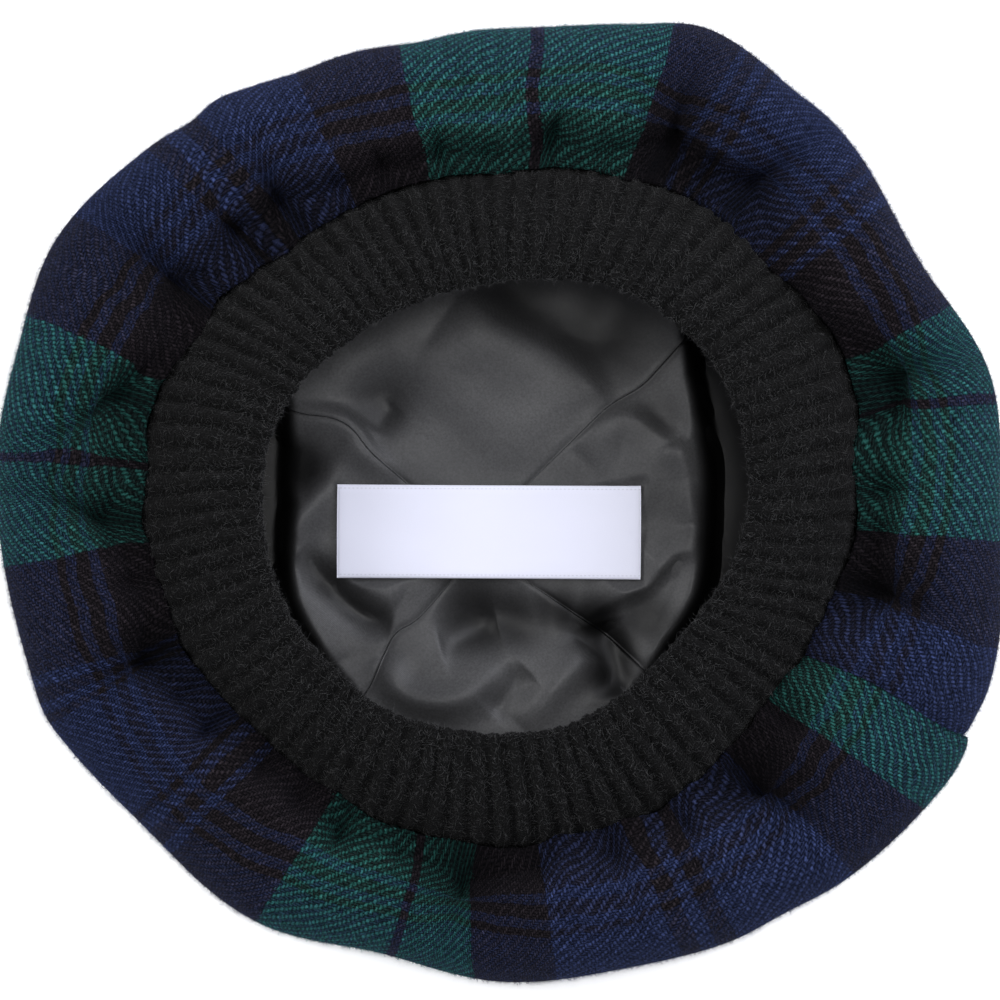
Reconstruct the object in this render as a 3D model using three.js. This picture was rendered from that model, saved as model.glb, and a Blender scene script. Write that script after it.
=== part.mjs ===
import * as THREE from 'three';

// A tartan tam o' shanter that lies on its crown with its opening up. Millimetres, +Z up.
// The origin is the middle of the face that the crown rests on.
// Bearings are degrees anticlockwise from +X, seen from above.

// Driving sizes of the shell
const seamRadius = 98; // mean radius of the seam between underside and band
const undersideReach = 45; // from that seam out to the rim
const rimRoll = 32; // from the rim in to where the crown lies flat
const rimHeight = 23; // height of the widest ring
const puffRise = 22; // from the widest ring up to the crest of the underside
const crestReach = 17; // from the band's seam out to that crest
const seamDip = 9; // from the crest down to the band's seam
const crownSeamTurn = 55; // degrees up the lower rim at which crown and underside meet
const clothWall = 2;
const gatherDepth = 9; // the deepest gather's fall below the crest

// Driving sizes of the knitted band
const bandReach = 32; // from the seam in to the free edge
const bandRise = 18; // from the seam up to the top of the band
const bandWall = 3.4;
const ribCount = 92;
const ribDepth = 1.3;

// Driving sizes of the lining and its label
const pocketInset = 22; // from the rim in to the lining's widest ring
const liningWall = 1;
const puffHeight = 15; // the highest puff above the lining's floor
const meetingLeft = 9; // from the middle of the hat to where the four gores meet
const meetingBelow = 8;
const labelLength = 88;
const labelWidth = 27;
const labelWall = 1;
const labelSeat = 10; // height of the flat patch under the label above the lining's floor
const labelMargin = 7; // how far that patch runs on past the label
const labelSlope = 9; // from the patch's edge out to the full height of the puffs
const labelLeft = 3; // from the middle of the hat to the label's middle
const labelBelow = 8;

// Clearances
const stitchGap = 0.35; // between two pieces sewn edge to edge
const crownGap = 0.5; // between the crown's edge and the underside's
const layerGap = 0.4; // between two layers that lie on each other

// How fine the meshes are
const crownColumns = 72;
const undersideColumns = 144;
const goreColumns = 14;
const labelColumns = 8;

// Sizes that follow from the driving ones
const rimRadius = seamRadius + undersideReach;
const mouthRadius = seamRadius - bandReach;
const crestHeight = rimHeight + puffRise;
const seamHeight = crestHeight - seamDip;
const liningFloor = clothWall + layerGap + liningWall;
const liningTop = seamHeight - bandWall - ribDepth / 2 - layerGap;
const labelMiddle = new THREE.Vector2(-labelLeft, -labelBelow);
const goreMeeting = new THREE.Vector3(-meetingLeft, -meetingBelow, 0);

// The outline at each bearing: shares of rimRadius, seamRadius and mouthRadius.
const outline = [
  { bearing: 0, rim: 1.008, seam: 1.026, mouth: 1.06 },
  { bearing: 15, rim: 1.026, seam: 1.05, mouth: 1.073 },
  { bearing: 30, rim: 0.984, seam: 1.05, mouth: 1.09 },
  { bearing: 45, rim: 1.016, seam: 1.038, mouth: 1.077 },
  { bearing: 60, rim: 1.034, seam: 1.02, mouth: 1.052 },
  { bearing: 75, rim: 1.0, seam: 0.994, mouth: 0.996 },
  { bearing: 90, rim: 0.964, seam: 0.962, mouth: 0.948 },
  { bearing: 105, rim: 0.956, seam: 0.956, mouth: 0.931 },
  { bearing: 120, rim: 0.978, seam: 0.959, mouth: 0.94 },
  { bearing: 135, rim: 1.008, seam: 0.98, mouth: 0.953 },
  { bearing: 150, rim: 1.042, seam: 1.015, mouth: 0.996 },
  { bearing: 165, rim: 1.02, seam: 1.026, mouth: 1.021 },
  { bearing: 180, rim: 1.012, seam: 1.02, mouth: 1.013 },
  { bearing: 195, rim: 1.004, seam: 1.015, mouth: 1.013 },
  { bearing: 210, rim: 0.994, seam: 0.991, mouth: 1.009 },
  { bearing: 225, rim: 0.968, seam: 0.974, mouth: 1.0 },
  { bearing: 240, rim: 0.978, seam: 0.974, mouth: 1.0 },
  { bearing: 255, rim: 0.936, seam: 0.983, mouth: 0.987 },
  { bearing: 270, rim: 0.96, seam: 0.991, mouth: 0.979 },
  { bearing: 285, rim: 0.968, seam: 0.997, mouth: 0.983 },
  { bearing: 300, rim: 1.0, seam: 0.994, mouth: 0.97 },
  { bearing: 315, rim: 1.034, seam: 0.974, mouth: 0.948 },
  { bearing: 330, rim: 1.058, seam: 0.985, mouth: 0.966 },
  { bearing: 345, rim: 1.042, seam: 1.006, mouth: 1.021 },
];

// The gathers that run out from the band's seam: bearing at the seam, depth as a share of
// gatherDepth, half width in degrees, run as a share of undersideReach, and lean, the degrees by
// which the far end is turned.
const gathers = [
  { bearing: 2, depth: 0.5, spread: 2.6, run: 0.4, lean: 0 },
  { bearing: 17.5, depth: 0.9, spread: 3.0, run: 1.0, lean: 1 },
  { bearing: 52, depth: 0.8, spread: 2.6, run: 0.9, lean: -5 },
  { bearing: 64.5, depth: 1.0, spread: 2.8, run: 0.8, lean: 2 },
  { bearing: 83, depth: 0.6, spread: 2.8, run: 0.4, lean: -2 },
  { bearing: 107, depth: 0.6, spread: 4.5, run: 0.4, lean: 0 },
  { bearing: 125, depth: 0.8, spread: 2.6, run: 0.6, lean: 1 },
  { bearing: 133, depth: 0.6, spread: 2.6, run: 0.5, lean: 2 },
  { bearing: 146, depth: 0.9, spread: 2.8, run: 1.0, lean: -3 },
  { bearing: 163, depth: 0.8, spread: 3.0, run: 1.0, lean: 11 },
  { bearing: 182, depth: 0.7, spread: 3.0, run: 0.9, lean: -4 },
  { bearing: 202.5, depth: 0.9, spread: 2.6, run: 0.6, lean: 2 },
  { bearing: 222, depth: 0.4, spread: 4.0, run: 0.4, lean: 0 },
  { bearing: 244, depth: 0.6, spread: 2.8, run: 0.4, lean: 0 },
  { bearing: 264, depth: 0.9, spread: 3.4, run: 0.8, lean: -1 },
  { bearing: 288, depth: 0.4, spread: 4.0, run: 0.4, lean: 0 },
  { bearing: 312, depth: 1.0, spread: 2.8, run: 0.7, lean: 3 },
  { bearing: 333.5, depth: 0.5, spread: 2.2, run: 1.2, lean: 0 },
  { bearing: 348, depth: 0.9, spread: 2.6, run: 0.5, lean: -4 },
];

// The lining's main puffs and folds. Each is a ridge from one end to the other; places are shares of
// mouthRadius, height a share of puffHeight, and left and right how far it falls off on each side.
const puffs = [
  { x1: -0.45, y1: 0.55, x2: 0.25, y2: 0.45, height: 1.0, left: 0.34, right: 0.5 },
  { x1: -0.3, y1: 0.85, x2: 0.42, y2: 0.45, height: 0.5, left: 0.1, right: 0.5 },
  { x1: -0.86, y1: 0.38, x2: -0.6, y2: 0.22, height: 0.8, left: 0.3, right: 0.12 },
  { x1: 0.45, y1: 0.38, x2: 0.82, y2: 0.2, height: 0.8, left: 0.15, right: 0.4 },
  { x1: 0.82, y1: 0.3, x2: 0.86, y2: -0.3, height: 0.7, left: 0.16, right: 0.22 },
  { x1: -0.9, y1: -0.3, x2: -0.72, y2: -0.72, height: 0.7, left: 0.3, right: 0.16 },
  { x1: -0.4, y1: -0.72, x2: 0.1, y2: -0.72, height: 0.9, left: 0.26, right: 0.3 },
  { x1: 0.45, y1: -0.55, x2: 0.12, y2: -0.95, height: 0.6, left: 0.12, right: 0.16 },
  { x1: 0.75, y1: -0.5, x2: 0.6, y2: -0.8, height: 0.6, left: 0.15, right: 0.12 },
  { x1: 0.35, y1: 0.95, x2: 0.85, y2: 0.7, height: 0.45, left: 0.25, right: 0.25 },
];

// The lining from its floor up to the band's seam: reach is the share of the way from the seam's
// radius out to the lining's widest ring, and rise the share of the lining's height.
const liningSide = [
  { reach: 0.6, rise: 0.02 },
  { reach: 0.92, rise: 0.16 },
  { reach: 1.0, rise: 0.42 },
  { reach: 0.62, rise: 0.68 },
  { reach: 0, rise: 1 },
];

// The bearings at which the seams that part the lining's four gores reach the band's seam.
const goreSeams = [46, 155, 232, 310];

const radians = THREE.MathUtils.degToRad;
const lerp = THREE.MathUtils.lerp;

// A smooth closed curve through one column of the outline: Catmull-Rom with even steps.
function around(column, bearing) {
  const count = outline.length;
  const step = 360 / count;
  const place = THREE.MathUtils.euclideanModulo(bearing, 360) / step;
  const row = Math.floor(place);
  const t = place - row;
  const value = (offset) => outline[(row + offset + count) % count][column];
  const [a, b, c, d] = [value(-1), value(0), value(1), value(2)];
  const bend = 2 * a - 5 * b + 4 * c - d + (3 * b - a - 3 * c + d) * t;
  return b + 0.5 * t * (c - a + t * bend);
}

const rimAt = (bearing) => rimRadius * around('rim', bearing);
const seamAt = (bearing) => seamRadius * around('seam', bearing);
const mouthAt = (bearing) => mouthRadius * around('mouth', bearing);
const flatAt = (bearing) => rimAt(bearing) - rimRoll;
const crestAt = (bearing) => seamAt(bearing) + crestReach;
const pocketAt = (bearing) => rimAt(bearing) - pocketInset;

// A place on a section with the unit normal to its left-hand side turned outwards.
function frame(r, z, alongR, alongZ) {
  const size = Math.hypot(alongR, alongZ);
  return { r, z, normalR: alongZ / size, normalZ: -alongR / size };
}

// The section from the crown's flat edge up to the widest ring, a quarter ellipse.
function lowerRim(bearing, turn) {
  const angle = radians(turn);
  const r = flatAt(bearing) + rimRoll * Math.sin(angle);
  const z = rimHeight * (1 - Math.cos(angle));
  return frame(r, z, rimRoll * Math.cos(angle), rimHeight * Math.sin(angle));
}

// The section from the widest ring up to the crest, a quarter ellipse.
function upperRim(bearing, turn) {
  const angle = radians(turn);
  const reach = rimAt(bearing) - crestAt(bearing);
  const r = crestAt(bearing) + reach * Math.cos(angle);
  const z = rimHeight + puffRise * Math.sin(angle);
  return frame(r, z, -reach * Math.sin(angle), puffRise * Math.cos(angle));
}

// The section from the crest down to the band's seam, a quarter of a cosine wave.
function innerSlope(bearing, share) {
  const reach = crestAt(bearing) - seamAt(bearing) - stitchGap / 2;
  const angle = (share * Math.PI) / 2;
  const z = crestHeight - seamDip * (1 - Math.cos(angle));
  const made = frame(crestAt(bearing) - reach * share, z, -reach, -seamDip * Math.sin(angle) * Math.PI / 2);
  if (share === 1) {
    return { ...made, normalR: 0, normalZ: 1 };
  }
  return made;
}

// How far the gathers pull the cloth in at a bearing and a share of the way out from the seam.
function gatherAt(bearing, out) {
  let fall = 0;
  for (const { bearing: at, depth, spread, run, lean } of gathers) {
    const centre = at + lean * out;
    const off = THREE.MathUtils.euclideanModulo(bearing - centre + 180, 360) - 180;
    const across = Math.exp(-((off / spread) ** 2));
    const along = Math.sin(Math.PI * Math.min(1, out / run) ** 0.8) ** 2;
    fall += depth * across * along;
  }
  return gatherDepth * Math.min(fall, 1);
}

// A point in space, moved from a place on a section along its normal.
function lift(bearing, place, outwards) {
  const r = place.r + outwards * place.normalR;
  const z = place.z + outwards * place.normalZ;
  return new THREE.Vector3(r * Math.cos(radians(bearing)), r * Math.sin(radians(bearing)), z);
}

// One closed mesh from a row of closed loops that have equally many points. Loops that go all the
// way round meet their first one; otherwise the two end loops are filled in.
function meshFromLoops(loops, goesRound) {
  const size = loops[0].length;
  const points = loops.flat();
  const faces = [];
  const addFace = (a, b, c) => {
    const flat = [[a, b], [b, c], [c, a]].some(([p, q]) => points[p].distanceTo(points[q]) < 1e-4);
    if (!flat) {
      faces.push(a, b, c);
    }
  };
  const last = goesRound ? loops.length : loops.length - 1;
  for (let i = 0; i < last; i += 1) {
    const next = (i + 1) % loops.length;
    for (let j = 0; j < size; j += 1) {
      const after = (j + 1) % size;
      addFace(i * size + j, next * size + j, next * size + after);
      addFace(i * size + j, next * size + after, i * size + after);
    }
  }
  if (!goesRound) {
    const end = (loops.length - 1) * size;
    for (let j = 0; j < size / 2 - 1; j += 1) {
      const facing = size - 1 - j;
      addFace(j, j + 1, facing);
      addFace(j + 1, facing - 1, facing);
      addFace(end + j, end + facing, end + j + 1);
      addFace(end + j + 1, end + facing, end + facing - 1);
    }
  }
  const geometry = new THREE.BufferGeometry().setFromPoints(points);
  geometry.setIndex(volumeOf(points, faces) < 0 ? faces.reverse() : faces);
  geometry.computeVertexNormals();
  return geometry;
}

// Six times the signed volume inside the faces, to tell which way they point.
function volumeOf(points, faces) {
  let volume = 0;
  for (let i = 0; i < faces.length; i += 3) {
    const [a, b, c] = [points[faces[i]], points[faces[i + 1]], points[faces[i + 2]]];
    volume += a.dot(b.clone().cross(c));
  }
  return volume;
}

// Evenly spaced numbers from first to last.
function steps(first, last, count) {
  return Array.from({ length: count + 1 }, (_, i) => lerp(first, last, i / count));
}

// The bearings of a number of columns that go all the way round.
const roundBearings = (columns) => steps(0, 360, columns).slice(0, -1);

// The turn on the lower rim, in degrees, at which a piece ends half the crown's gap from the seam.
function crownSeamTurnFor(side) {
  const angle = radians(crownSeamTurn);
  const speed = Math.hypot(rimRoll * Math.cos(angle), rimHeight * Math.sin(angle));
  return crownSeamTurn + side * THREE.MathUtils.radToDeg(crownGap / 2 / speed);
}

// The crown: a disc that lies flat and turns up to the seam on the lower rim.
function crown() {
  const turns = steps(0, crownSeamTurnFor(-1), 2);
  const loops = roundBearings(crownColumns).map((bearing) => {
    const section = [frame(0, 0, 1, 0), ...turns.map((turn) => lowerRim(bearing, turn))];
    const outside = section.map((place) => lift(bearing, place, 0));
    const inside = section.map((place) => lift(bearing, place, -clothWall));
    return [...outside, ...inside.reverse()];
  });
  return meshFromLoops(loops, true);
}

// The gathered strip from the crown's seam, over the rim, to the band's seam.
function underside() {
  const loops = roundBearings(undersideColumns).map((bearing) => {
    const section = [
      lowerRim(bearing, crownSeamTurnFor(1)),
      ...[0, 30, 60].map((turn) => upperRim(bearing, turn)),
      ...[0, 0.4, 0.75, 1].map((share) => innerSlope(bearing, share)),
    ];
    const width = rimAt(bearing) - seamAt(bearing);
    const fall = section.map(({ r, z }) => {
      const out = THREE.MathUtils.clamp((r - seamAt(bearing)) / width, 0, 1);
      return z > rimHeight ? gatherAt(bearing, out) : 0;
    });
    const outside = section.map((place, i) => lift(bearing, place, -fall[i]));
    const inside = section.map((place, i) => lift(bearing, place, -fall[i] - clothWall));
    return [...outside, ...inside.reverse()];
  });
  return meshFromLoops(loops, true);
}

// The band's middle line from the seam to the free edge, a quarter of a sine wave.
function bandLine(bearing, share) {
  const start = seamAt(bearing) - stitchGap / 2;
  const reach = start - mouthAt(bearing) - bandWall / 2;
  const angle = (share * Math.PI) / 2;
  const z = seamHeight - bandWall / 2 + bandRise * Math.sin(angle);
  if (share === 0) {
    return { r: start, z, normalR: 0, normalZ: 1 };
  }
  return frame(start - reach * share, z, -reach, bandRise * Math.cos(angle) * Math.PI / 2);
}

// The ribbed band: a corrugated wall whose crests and valleys alternate from column to column.
function band() {
  const bearings = roundBearings(2 * ribCount);
  const loops = bearings.map((bearing, i) => {
    const side = i % 2 ? -1 : 1;
    const section = [0, 0.3, 0.65, 1].map((share) => bandLine(bearing, share));
    const rib = [0.3, 1, 1, 0.6].map((share) => (side * share * ribDepth) / 2);
    const outside = section.map((place, k) => lift(bearing, place, bandWall / 2 + rib[k]));
    const inside = section.map((place, k) => lift(bearing, place, rib[k] - bandWall / 2));
    const end = section[section.length - 1];
    const tip = lift(bearing, { ...end, r: end.r - bandWall / 2 }, 0);
    return [...outside, tip, ...inside.reverse()];
  });
  return meshFromLoops(loops, true);
}

// The height of the lining's puffs above its floor, with a flat patch under the label.
function puffAt(x, y) {
  let height = 0;
  for (const puff of puffs) {
    const start = new THREE.Vector2(puff.x1, puff.y1).multiplyScalar(mouthRadius);
    const along = new THREE.Vector2(puff.x2, puff.y2).multiplyScalar(mouthRadius).sub(start);
    const from = new THREE.Vector2(x, y).sub(start);
    const share = THREE.MathUtils.clamp(from.dot(along) / along.lengthSq(), 0, 1);
    const across = from.clone().addScaledVector(along, -share).length();
    const width = (along.cross(from) > 0 ? puff.left : puff.right) * mouthRadius;
    height = Math.max(height, puff.height * Math.exp(-((across / width) ** 2)));
  }
  const overX = Math.abs(x - labelMiddle.x) - labelLength / 2;
  const overY = Math.abs(y - labelMiddle.y) - labelWidth / 2;
  const away = THREE.MathUtils.smoothstep(Math.max(overX, overY), labelMargin, labelMargin + labelSlope);
  return lerp(labelSeat, puffHeight * height, away);
}

// A place on the lining's upper face at a bearing and a share of the way out over its floor.
function liningFloorPoint(bearing, share) {
  const edge = liningSidePoint(bearing, liningSide[0]);
  const point = goreMeeting.clone().lerp(edge.point, share);
  const settle = 1 - THREE.MathUtils.smoothstep(share, 0.75, 1);
  point.z = lerp(edge.point.z, liningFloor + puffAt(point.x, point.y), settle);
  return { point, outwards: new THREE.Vector3(0, 0, -1) };
}

// A place on the lining's side, with the way towards the shell.
function liningSidePoint(bearing, { reach, rise }) {
  const r = lerp(seamAt(bearing), pocketAt(bearing), reach);
  const z = lerp(liningFloor, liningTop - liningWall, rise);
  const tilt = Math.PI * (rise - 0.5);
  const flatWay = new THREE.Vector3(Math.cos(radians(bearing)), Math.sin(radians(bearing)), 0);
  const outwards = flatWay.clone().multiplyScalar(Math.cos(tilt)).setZ(Math.sin(tilt));
  return { point: flatWay.multiplyScalar(r).setZ(z), outwards };
}

// One gore of the lining: a sector from the meeting point to the band's seam.
function liningGore(firstSeam, lastSeam) {
  const floorShares = [0.04, 0.14, 0.26, 0.38, 0.5, 0.62, 0.74, 0.87];
  const loops = steps(0, 1, goreColumns).map((across) => {
    const section = [...floorShares, ...liningSide].map((station) => {
      const isFloor = typeof station === 'number';
      const reach = seamAt(firstSeam) * (isFloor ? station : 1);
      const trim = THREE.MathUtils.radToDeg(stitchGap / 2 / reach);
      const bearing = lerp(firstSeam + trim, lastSeam - trim, across);
      return isFloor ? liningFloorPoint(bearing, station) : liningSidePoint(bearing, station);
    });
    const inside = section.map(({ point }) => point);
    const outside = section.map(({ point, outwards }) => point.clone().addScaledVector(outwards, liningWall));
    return [...inside, ...outside.reverse()];
  });
  return meshFromLoops(loops, false);
}

// The bare woven label, flat on its patch of the lining.
function label() {
  const bottom = liningFloor + labelSeat + layerGap;
  const geometry = new THREE.BoxGeometry(labelLength, labelWidth, labelWall, labelColumns, 2, 1);
  geometry.translate(labelMiddle.x, labelMiddle.y, bottom + labelWall / 2);
  return geometry;
}

const tartanWool = new THREE.MeshStandardMaterial({ color: 0x1d2c46, roughness: 0.95, metalness: 0 });
const ribKnit = new THREE.MeshStandardMaterial({ color: 0x1f1f1e, roughness: 1, metalness: 0 });
const greySatin = new THREE.MeshStandardMaterial({ color: 0x4a4a4a, roughness: 0.45, metalness: 0 });
const whiteSatin = new THREE.MeshStandardMaterial({ color: 0xe6e6f2, roughness: 0.5, metalness: 0 });

// A named mesh in the hat's own frame.
function piece(name, geometry, material) {
  const mesh = new THREE.Mesh(geometry, material);
  mesh.name = name;
  return mesh;
}

const tamOShanter = new THREE.Group();
tamOShanter.name = 'tam_o_shanter';
tamOShanter.add(piece('crown', crown(), tartanWool));
tamOShanter.add(piece('underside', underside(), tartanWool));
tamOShanter.add(piece('rib_band', band(), ribKnit));
goreSeams.forEach((seam, i) => {
  const nextSeam = i + 1 < goreSeams.length ? goreSeams[i + 1] : goreSeams[0] + 360;
  tamOShanter.add(piece(`lining_gore_${i + 1}`, liningGore(seam, nextSeam), greySatin));
});
tamOShanter.add(piece('label', label(), whiteSatin));

export default tamOShanter;
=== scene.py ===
# %% [markdown]
# # A tartan tam o' shanter, lying on its crown
# The hat is sewn from a disc of tartan (the crown), a straight strip of the same cloth whose ends
# meet in one seam (the underside), a knitted band, a satin lining of four gores and a small label.
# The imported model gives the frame: every piece of cloth made here takes the place of one of its nodes.
# Lengths are worked out in millimetres, in the frame of the model, and turned to metres at the end.

# %% Load the frame
import bpy
import numpy as np
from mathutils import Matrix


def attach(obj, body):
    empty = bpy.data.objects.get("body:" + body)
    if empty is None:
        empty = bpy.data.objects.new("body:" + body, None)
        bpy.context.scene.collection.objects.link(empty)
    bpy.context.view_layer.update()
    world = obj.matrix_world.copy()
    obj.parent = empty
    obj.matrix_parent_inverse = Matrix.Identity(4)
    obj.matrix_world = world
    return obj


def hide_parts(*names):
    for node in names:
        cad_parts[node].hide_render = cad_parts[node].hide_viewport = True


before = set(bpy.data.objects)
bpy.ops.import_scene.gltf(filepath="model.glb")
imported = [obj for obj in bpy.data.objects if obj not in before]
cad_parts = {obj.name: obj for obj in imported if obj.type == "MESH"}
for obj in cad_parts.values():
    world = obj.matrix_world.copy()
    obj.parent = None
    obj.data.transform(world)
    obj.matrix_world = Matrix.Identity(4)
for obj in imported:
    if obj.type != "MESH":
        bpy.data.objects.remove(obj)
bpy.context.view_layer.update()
MM = 0.001
rng = np.random.default_rng(7)
print("nodes:", sorted(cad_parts))

# %% [markdown]
# ## The outline
# The hat isn't round: it was laid down by hand, and its rim, its band's seam and the band's mouth
# each bulge and pull in. A table gives the three radii every 15 degrees, as shares of their means,
# and a closed Catmull-Rom curve runs smoothly through each column. Two more tables list the
# bulges and dents, of a few millimetres, that are narrower than its steps.

# %% Sizes and the outline table
RIM, SEAM, MOUTH = 143.0, 98.0, 66.0
RIM_ROLL, RIM_HEIGHT, PUFF_RISE = 32.0, 23.0, 22.0
CREST_REACH, SEAM_DIP, CROWN_SEAM_TURN = 17.0, 9.0, 55.0
CLOTH, GATHER_DEPTH = 2.0, 15.0
BAND_RISE, BAND_WALL, RIBS, RIB_DEPTH = 18.0, 3.4, 92, 1.6
SEAM_TUCK, OVERHANG = 2.6, 4.2
POCKET_INSET, LINING_WALL = 22.0, 0.6
CREST_HEIGHT = RIM_HEIGHT + PUFF_RISE
SEAM_HEIGHT = CREST_HEIGHT - SEAM_DIP

OUTLINE = {
    "rim": [1.008, 1.026, 0.984, 1.016, 1.034, 1.0, 0.964, 0.956, 0.978, 1.008, 1.042, 1.02,
            1.012, 1.004, 0.994, 0.968, 0.978, 0.936, 0.96, 0.968, 1.0, 1.034, 1.058, 1.042],
    "seam": [1.026, 1.05, 1.05, 1.038, 1.02, 0.994, 0.962, 0.956, 0.959, 0.98, 1.015, 1.026,
             1.02, 1.015, 0.991, 0.974, 0.974, 0.983, 0.991, 0.997, 0.994, 0.974, 0.985, 1.006],
    "mouth": [1.06, 1.073, 1.09, 1.077, 1.052, 0.996, 0.948, 0.931, 0.94, 0.953, 0.996, 1.021,
              1.013, 1.013, 1.009, 1.0, 1.0, 0.987, 0.979, 0.983, 0.97, 0.948, 0.966, 1.021],
}

# degrees clockwise from the top where the strip's two ends meet
ENDS_MEET = 116.2

# bulges and dents of the rim: degrees clockwise from the top, mm outwards and half width in degrees
RIM_DENTS = [
    (118, 1.0, 5), (145, -1.1, 5), (213, -1.2, 9), (245, 1.2, 4), (290, -0.9, 8), (321, -1.0, 3),
    (325, 1.2, 3), (335, -1.0, 4), (350, -1.3, 5), (366, -1.7, 8), (382.5, 3.2, 5.5), (395, -1.9, 4.5),
    (418, -1.5, 16), (475, -0.7, 3),
]

# the same for the band's seam
SEAM_DENTS = [(408, 3.4, 42), (270, 2.4, 24)]


def closed_curve(values, bearing):
    """Catmull-Rom through values evenly spaced round a full turn, at bearings in degrees."""
    values = np.array(values)
    place = np.mod(bearing, 360) / 360 * len(values)
    row = np.floor(place).astype(int)
    t = place - row
    a, b, c, d = (values[(row + k) % len(values)] for k in (-1, 0, 1, 2))
    return b + 0.5 * t * (c - a + t * (2 * a - 5 * b + 4 * c - d + t * (3 * b - a - 3 * c + d)))


def running_mean(table, clock, width):
    """A table's line at degrees clockwise, as a mean over a width in degrees; past its ends it goes on
    straight."""
    places = clock[..., None] + np.linspace(-width / 2, width / 2, 15)
    (a, a_value), (b, b_value) = table[0], table[1]
    (c, c_value), (d, d_value) = table[-2], table[-1]
    line = np.interp(places, table[:, 0], table[:, 1])
    line = np.where(places < a, a_value + (places - a) * (b_value - a_value) / (b - a), line)
    return np.where(places > d, d_value + (places - d) * (d_value - c_value) / (d - c), line).mean(-1)


def dented(dents, bearing):
    """mm by which a table's bulges and dents move an outline: a bell over the angle for each."""
    clock = ENDS_MEET + np.mod(90 - bearing - ENDS_MEET, 360)
    return sum(mm * np.exp(-(((clock - middle) / half) ** 2)) for middle, mm, half in dents)


def wobble(*coordinates, seed, octaves=3):
    """Smooth noise from -1 to 1: a sum of sines with seeded directions, twice as fine each octave."""
    draw = np.random.default_rng(seed)
    total = np.zeros(np.broadcast_shapes(*(np.shape(x) for x in coordinates)))
    for octave in range(octaves):
        for _ in range(3):
            weights = draw.normal(size=len(coordinates)) * 2**octave
            phase = draw.uniform(0, 2 * np.pi)
            total = total + np.sin(sum(w * x for w, x in zip(weights, coordinates)) + phase) / 2**octave
    return total / 3


# %% [markdown]
# ## From arrays to meshes
# Every surface is a grid of points: rows run round a section, columns run along the piece. The
# helper below turns such a grid into quads, closes it where it meets itself, and caps its ends.

# %% Mesh helpers
def build_mesh(name, points, loops, sizes, loop_uv):
    """A mesh from points in mm, the corners of its faces one after another, how many corners each
    face has, and a uv for every corner. Two more columns of loop_uv go into a map of painted shade."""
    mesh = bpy.data.meshes.new(name)
    mesh.vertices.add(len(points))
    mesh.vertices.foreach_set("co", (points * MM).astype(np.float32).ravel())
    mesh.loops.add(len(loops))
    mesh.loops.foreach_set("vertex_index", loops.astype(np.int32))
    mesh.polygons.add(len(sizes))
    starts = np.concatenate([[0], np.cumsum(sizes)[:-1]])
    mesh.polygons.foreach_set("loop_start", starts.astype(np.int32))
    mesh.update(calc_edges=True)
    painted_shade_map = loop_uv[:, 2:] if loop_uv.shape[1] > 2 else np.zeros_like(loop_uv)
    for layer_name, columns in (("cloth", loop_uv[:, :2]), ("painted_shade_map", painted_shade_map)):
        layer = mesh.uv_layers.new(name=layer_name)
        layer.data.foreach_set("uv", columns.astype(np.float32).ravel())
    return finish_mesh(name, mesh)


def grid_mesh(name, points, uv, wrap_rows=True, wrap_columns=False, caps=()):
    """A mesh from points[row, column] in mm: neighbours are joined by quads, whose corners take the
    uv of their grid places. uv has one more row or column than points where the grid wraps. caps
    lists faces, each as rows, that close the first and the last column."""
    rows, columns = points.shape[:2]
    i = np.arange(rows if wrap_rows else rows - 1)[:, None]
    j = np.arange(columns if wrap_columns else columns - 1)[None, :]
    i2, j2 = (i + 1) % rows, (j + 1) % columns
    corners = [(i, j), (i2, j), (i2, j2), (i, j2)]
    quads = np.stack([np.broadcast_to(a * columns + b, (i.size, j.size)) for a, b in corners], -1)
    places = [(i, j), (i + 1, j), (i + 1, j + 1), (i, j + 1)]
    quad_uv = np.stack([uv[a, b] for a, b in places], axis=2)
    ends = [(np.array(face)[::turn], column) for column, turn in ((0, 1), (columns - 1, -1)) for face in caps]
    loops = np.concatenate([quads.ravel()] + [face * columns + column for face, column in ends])
    end_uv = [uv[face, column] for face, column in ends]
    loop_uv = np.concatenate([quad_uv.reshape(-1, uv.shape[-1])] + end_uv)
    sizes = np.concatenate([np.full(i.size * j.size, 4)] + [[len(face)] for face, column in ends])
    return build_mesh(name, points.reshape(-1, 3), loops, sizes, loop_uv)


def wall_caps(outer_rows, inner_places):
    """Faces that close a wall's end: inner row n lies under outer row inner_places[n], and the inner
    rows run back from the last outer row to the first."""
    caps = []
    for n, (late, early) in enumerate(zip(inner_places[:-1], inner_places[1:])):
        caps.append(list(range(early, late + 1)) + [outer_rows + n, outer_rows + n + 1])
    return caps


def finish_mesh(name, mesh):
    """An object for a mesh, smooth shaded, with its faces turned outwards by the sign of its volume."""
    mesh.validate()
    mesh.calc_loop_triangles()
    corners = np.empty(len(mesh.loop_triangles) * 3, np.int32)
    mesh.loop_triangles.foreach_get("vertices", corners)
    places = np.empty(len(mesh.vertices) * 3, np.float32)
    mesh.vertices.foreach_get("co", places)
    a, b, c = places.reshape(-1, 3)[corners.reshape(-1, 3)].transpose(1, 0, 2).astype(float)
    if np.einsum("ij,ij->", a, np.cross(b, c)) < 0:
        mesh.flip_normals()
    mesh.polygons.foreach_set("use_smooth", np.ones(len(mesh.polygons), bool))
    piece = bpy.data.objects.new(name, mesh)
    bpy.context.collection.objects.link(piece)
    print(f"{name}: {len(corners) // 3} triangles")
    return piece


def polar(r, bearing, z):
    """Points in mm from radius, bearing in degrees and height."""
    turn = np.radians(bearing)
    return np.stack(np.broadcast_arrays(r * np.cos(turn), r * np.sin(turn), z), axis=-1)
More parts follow.
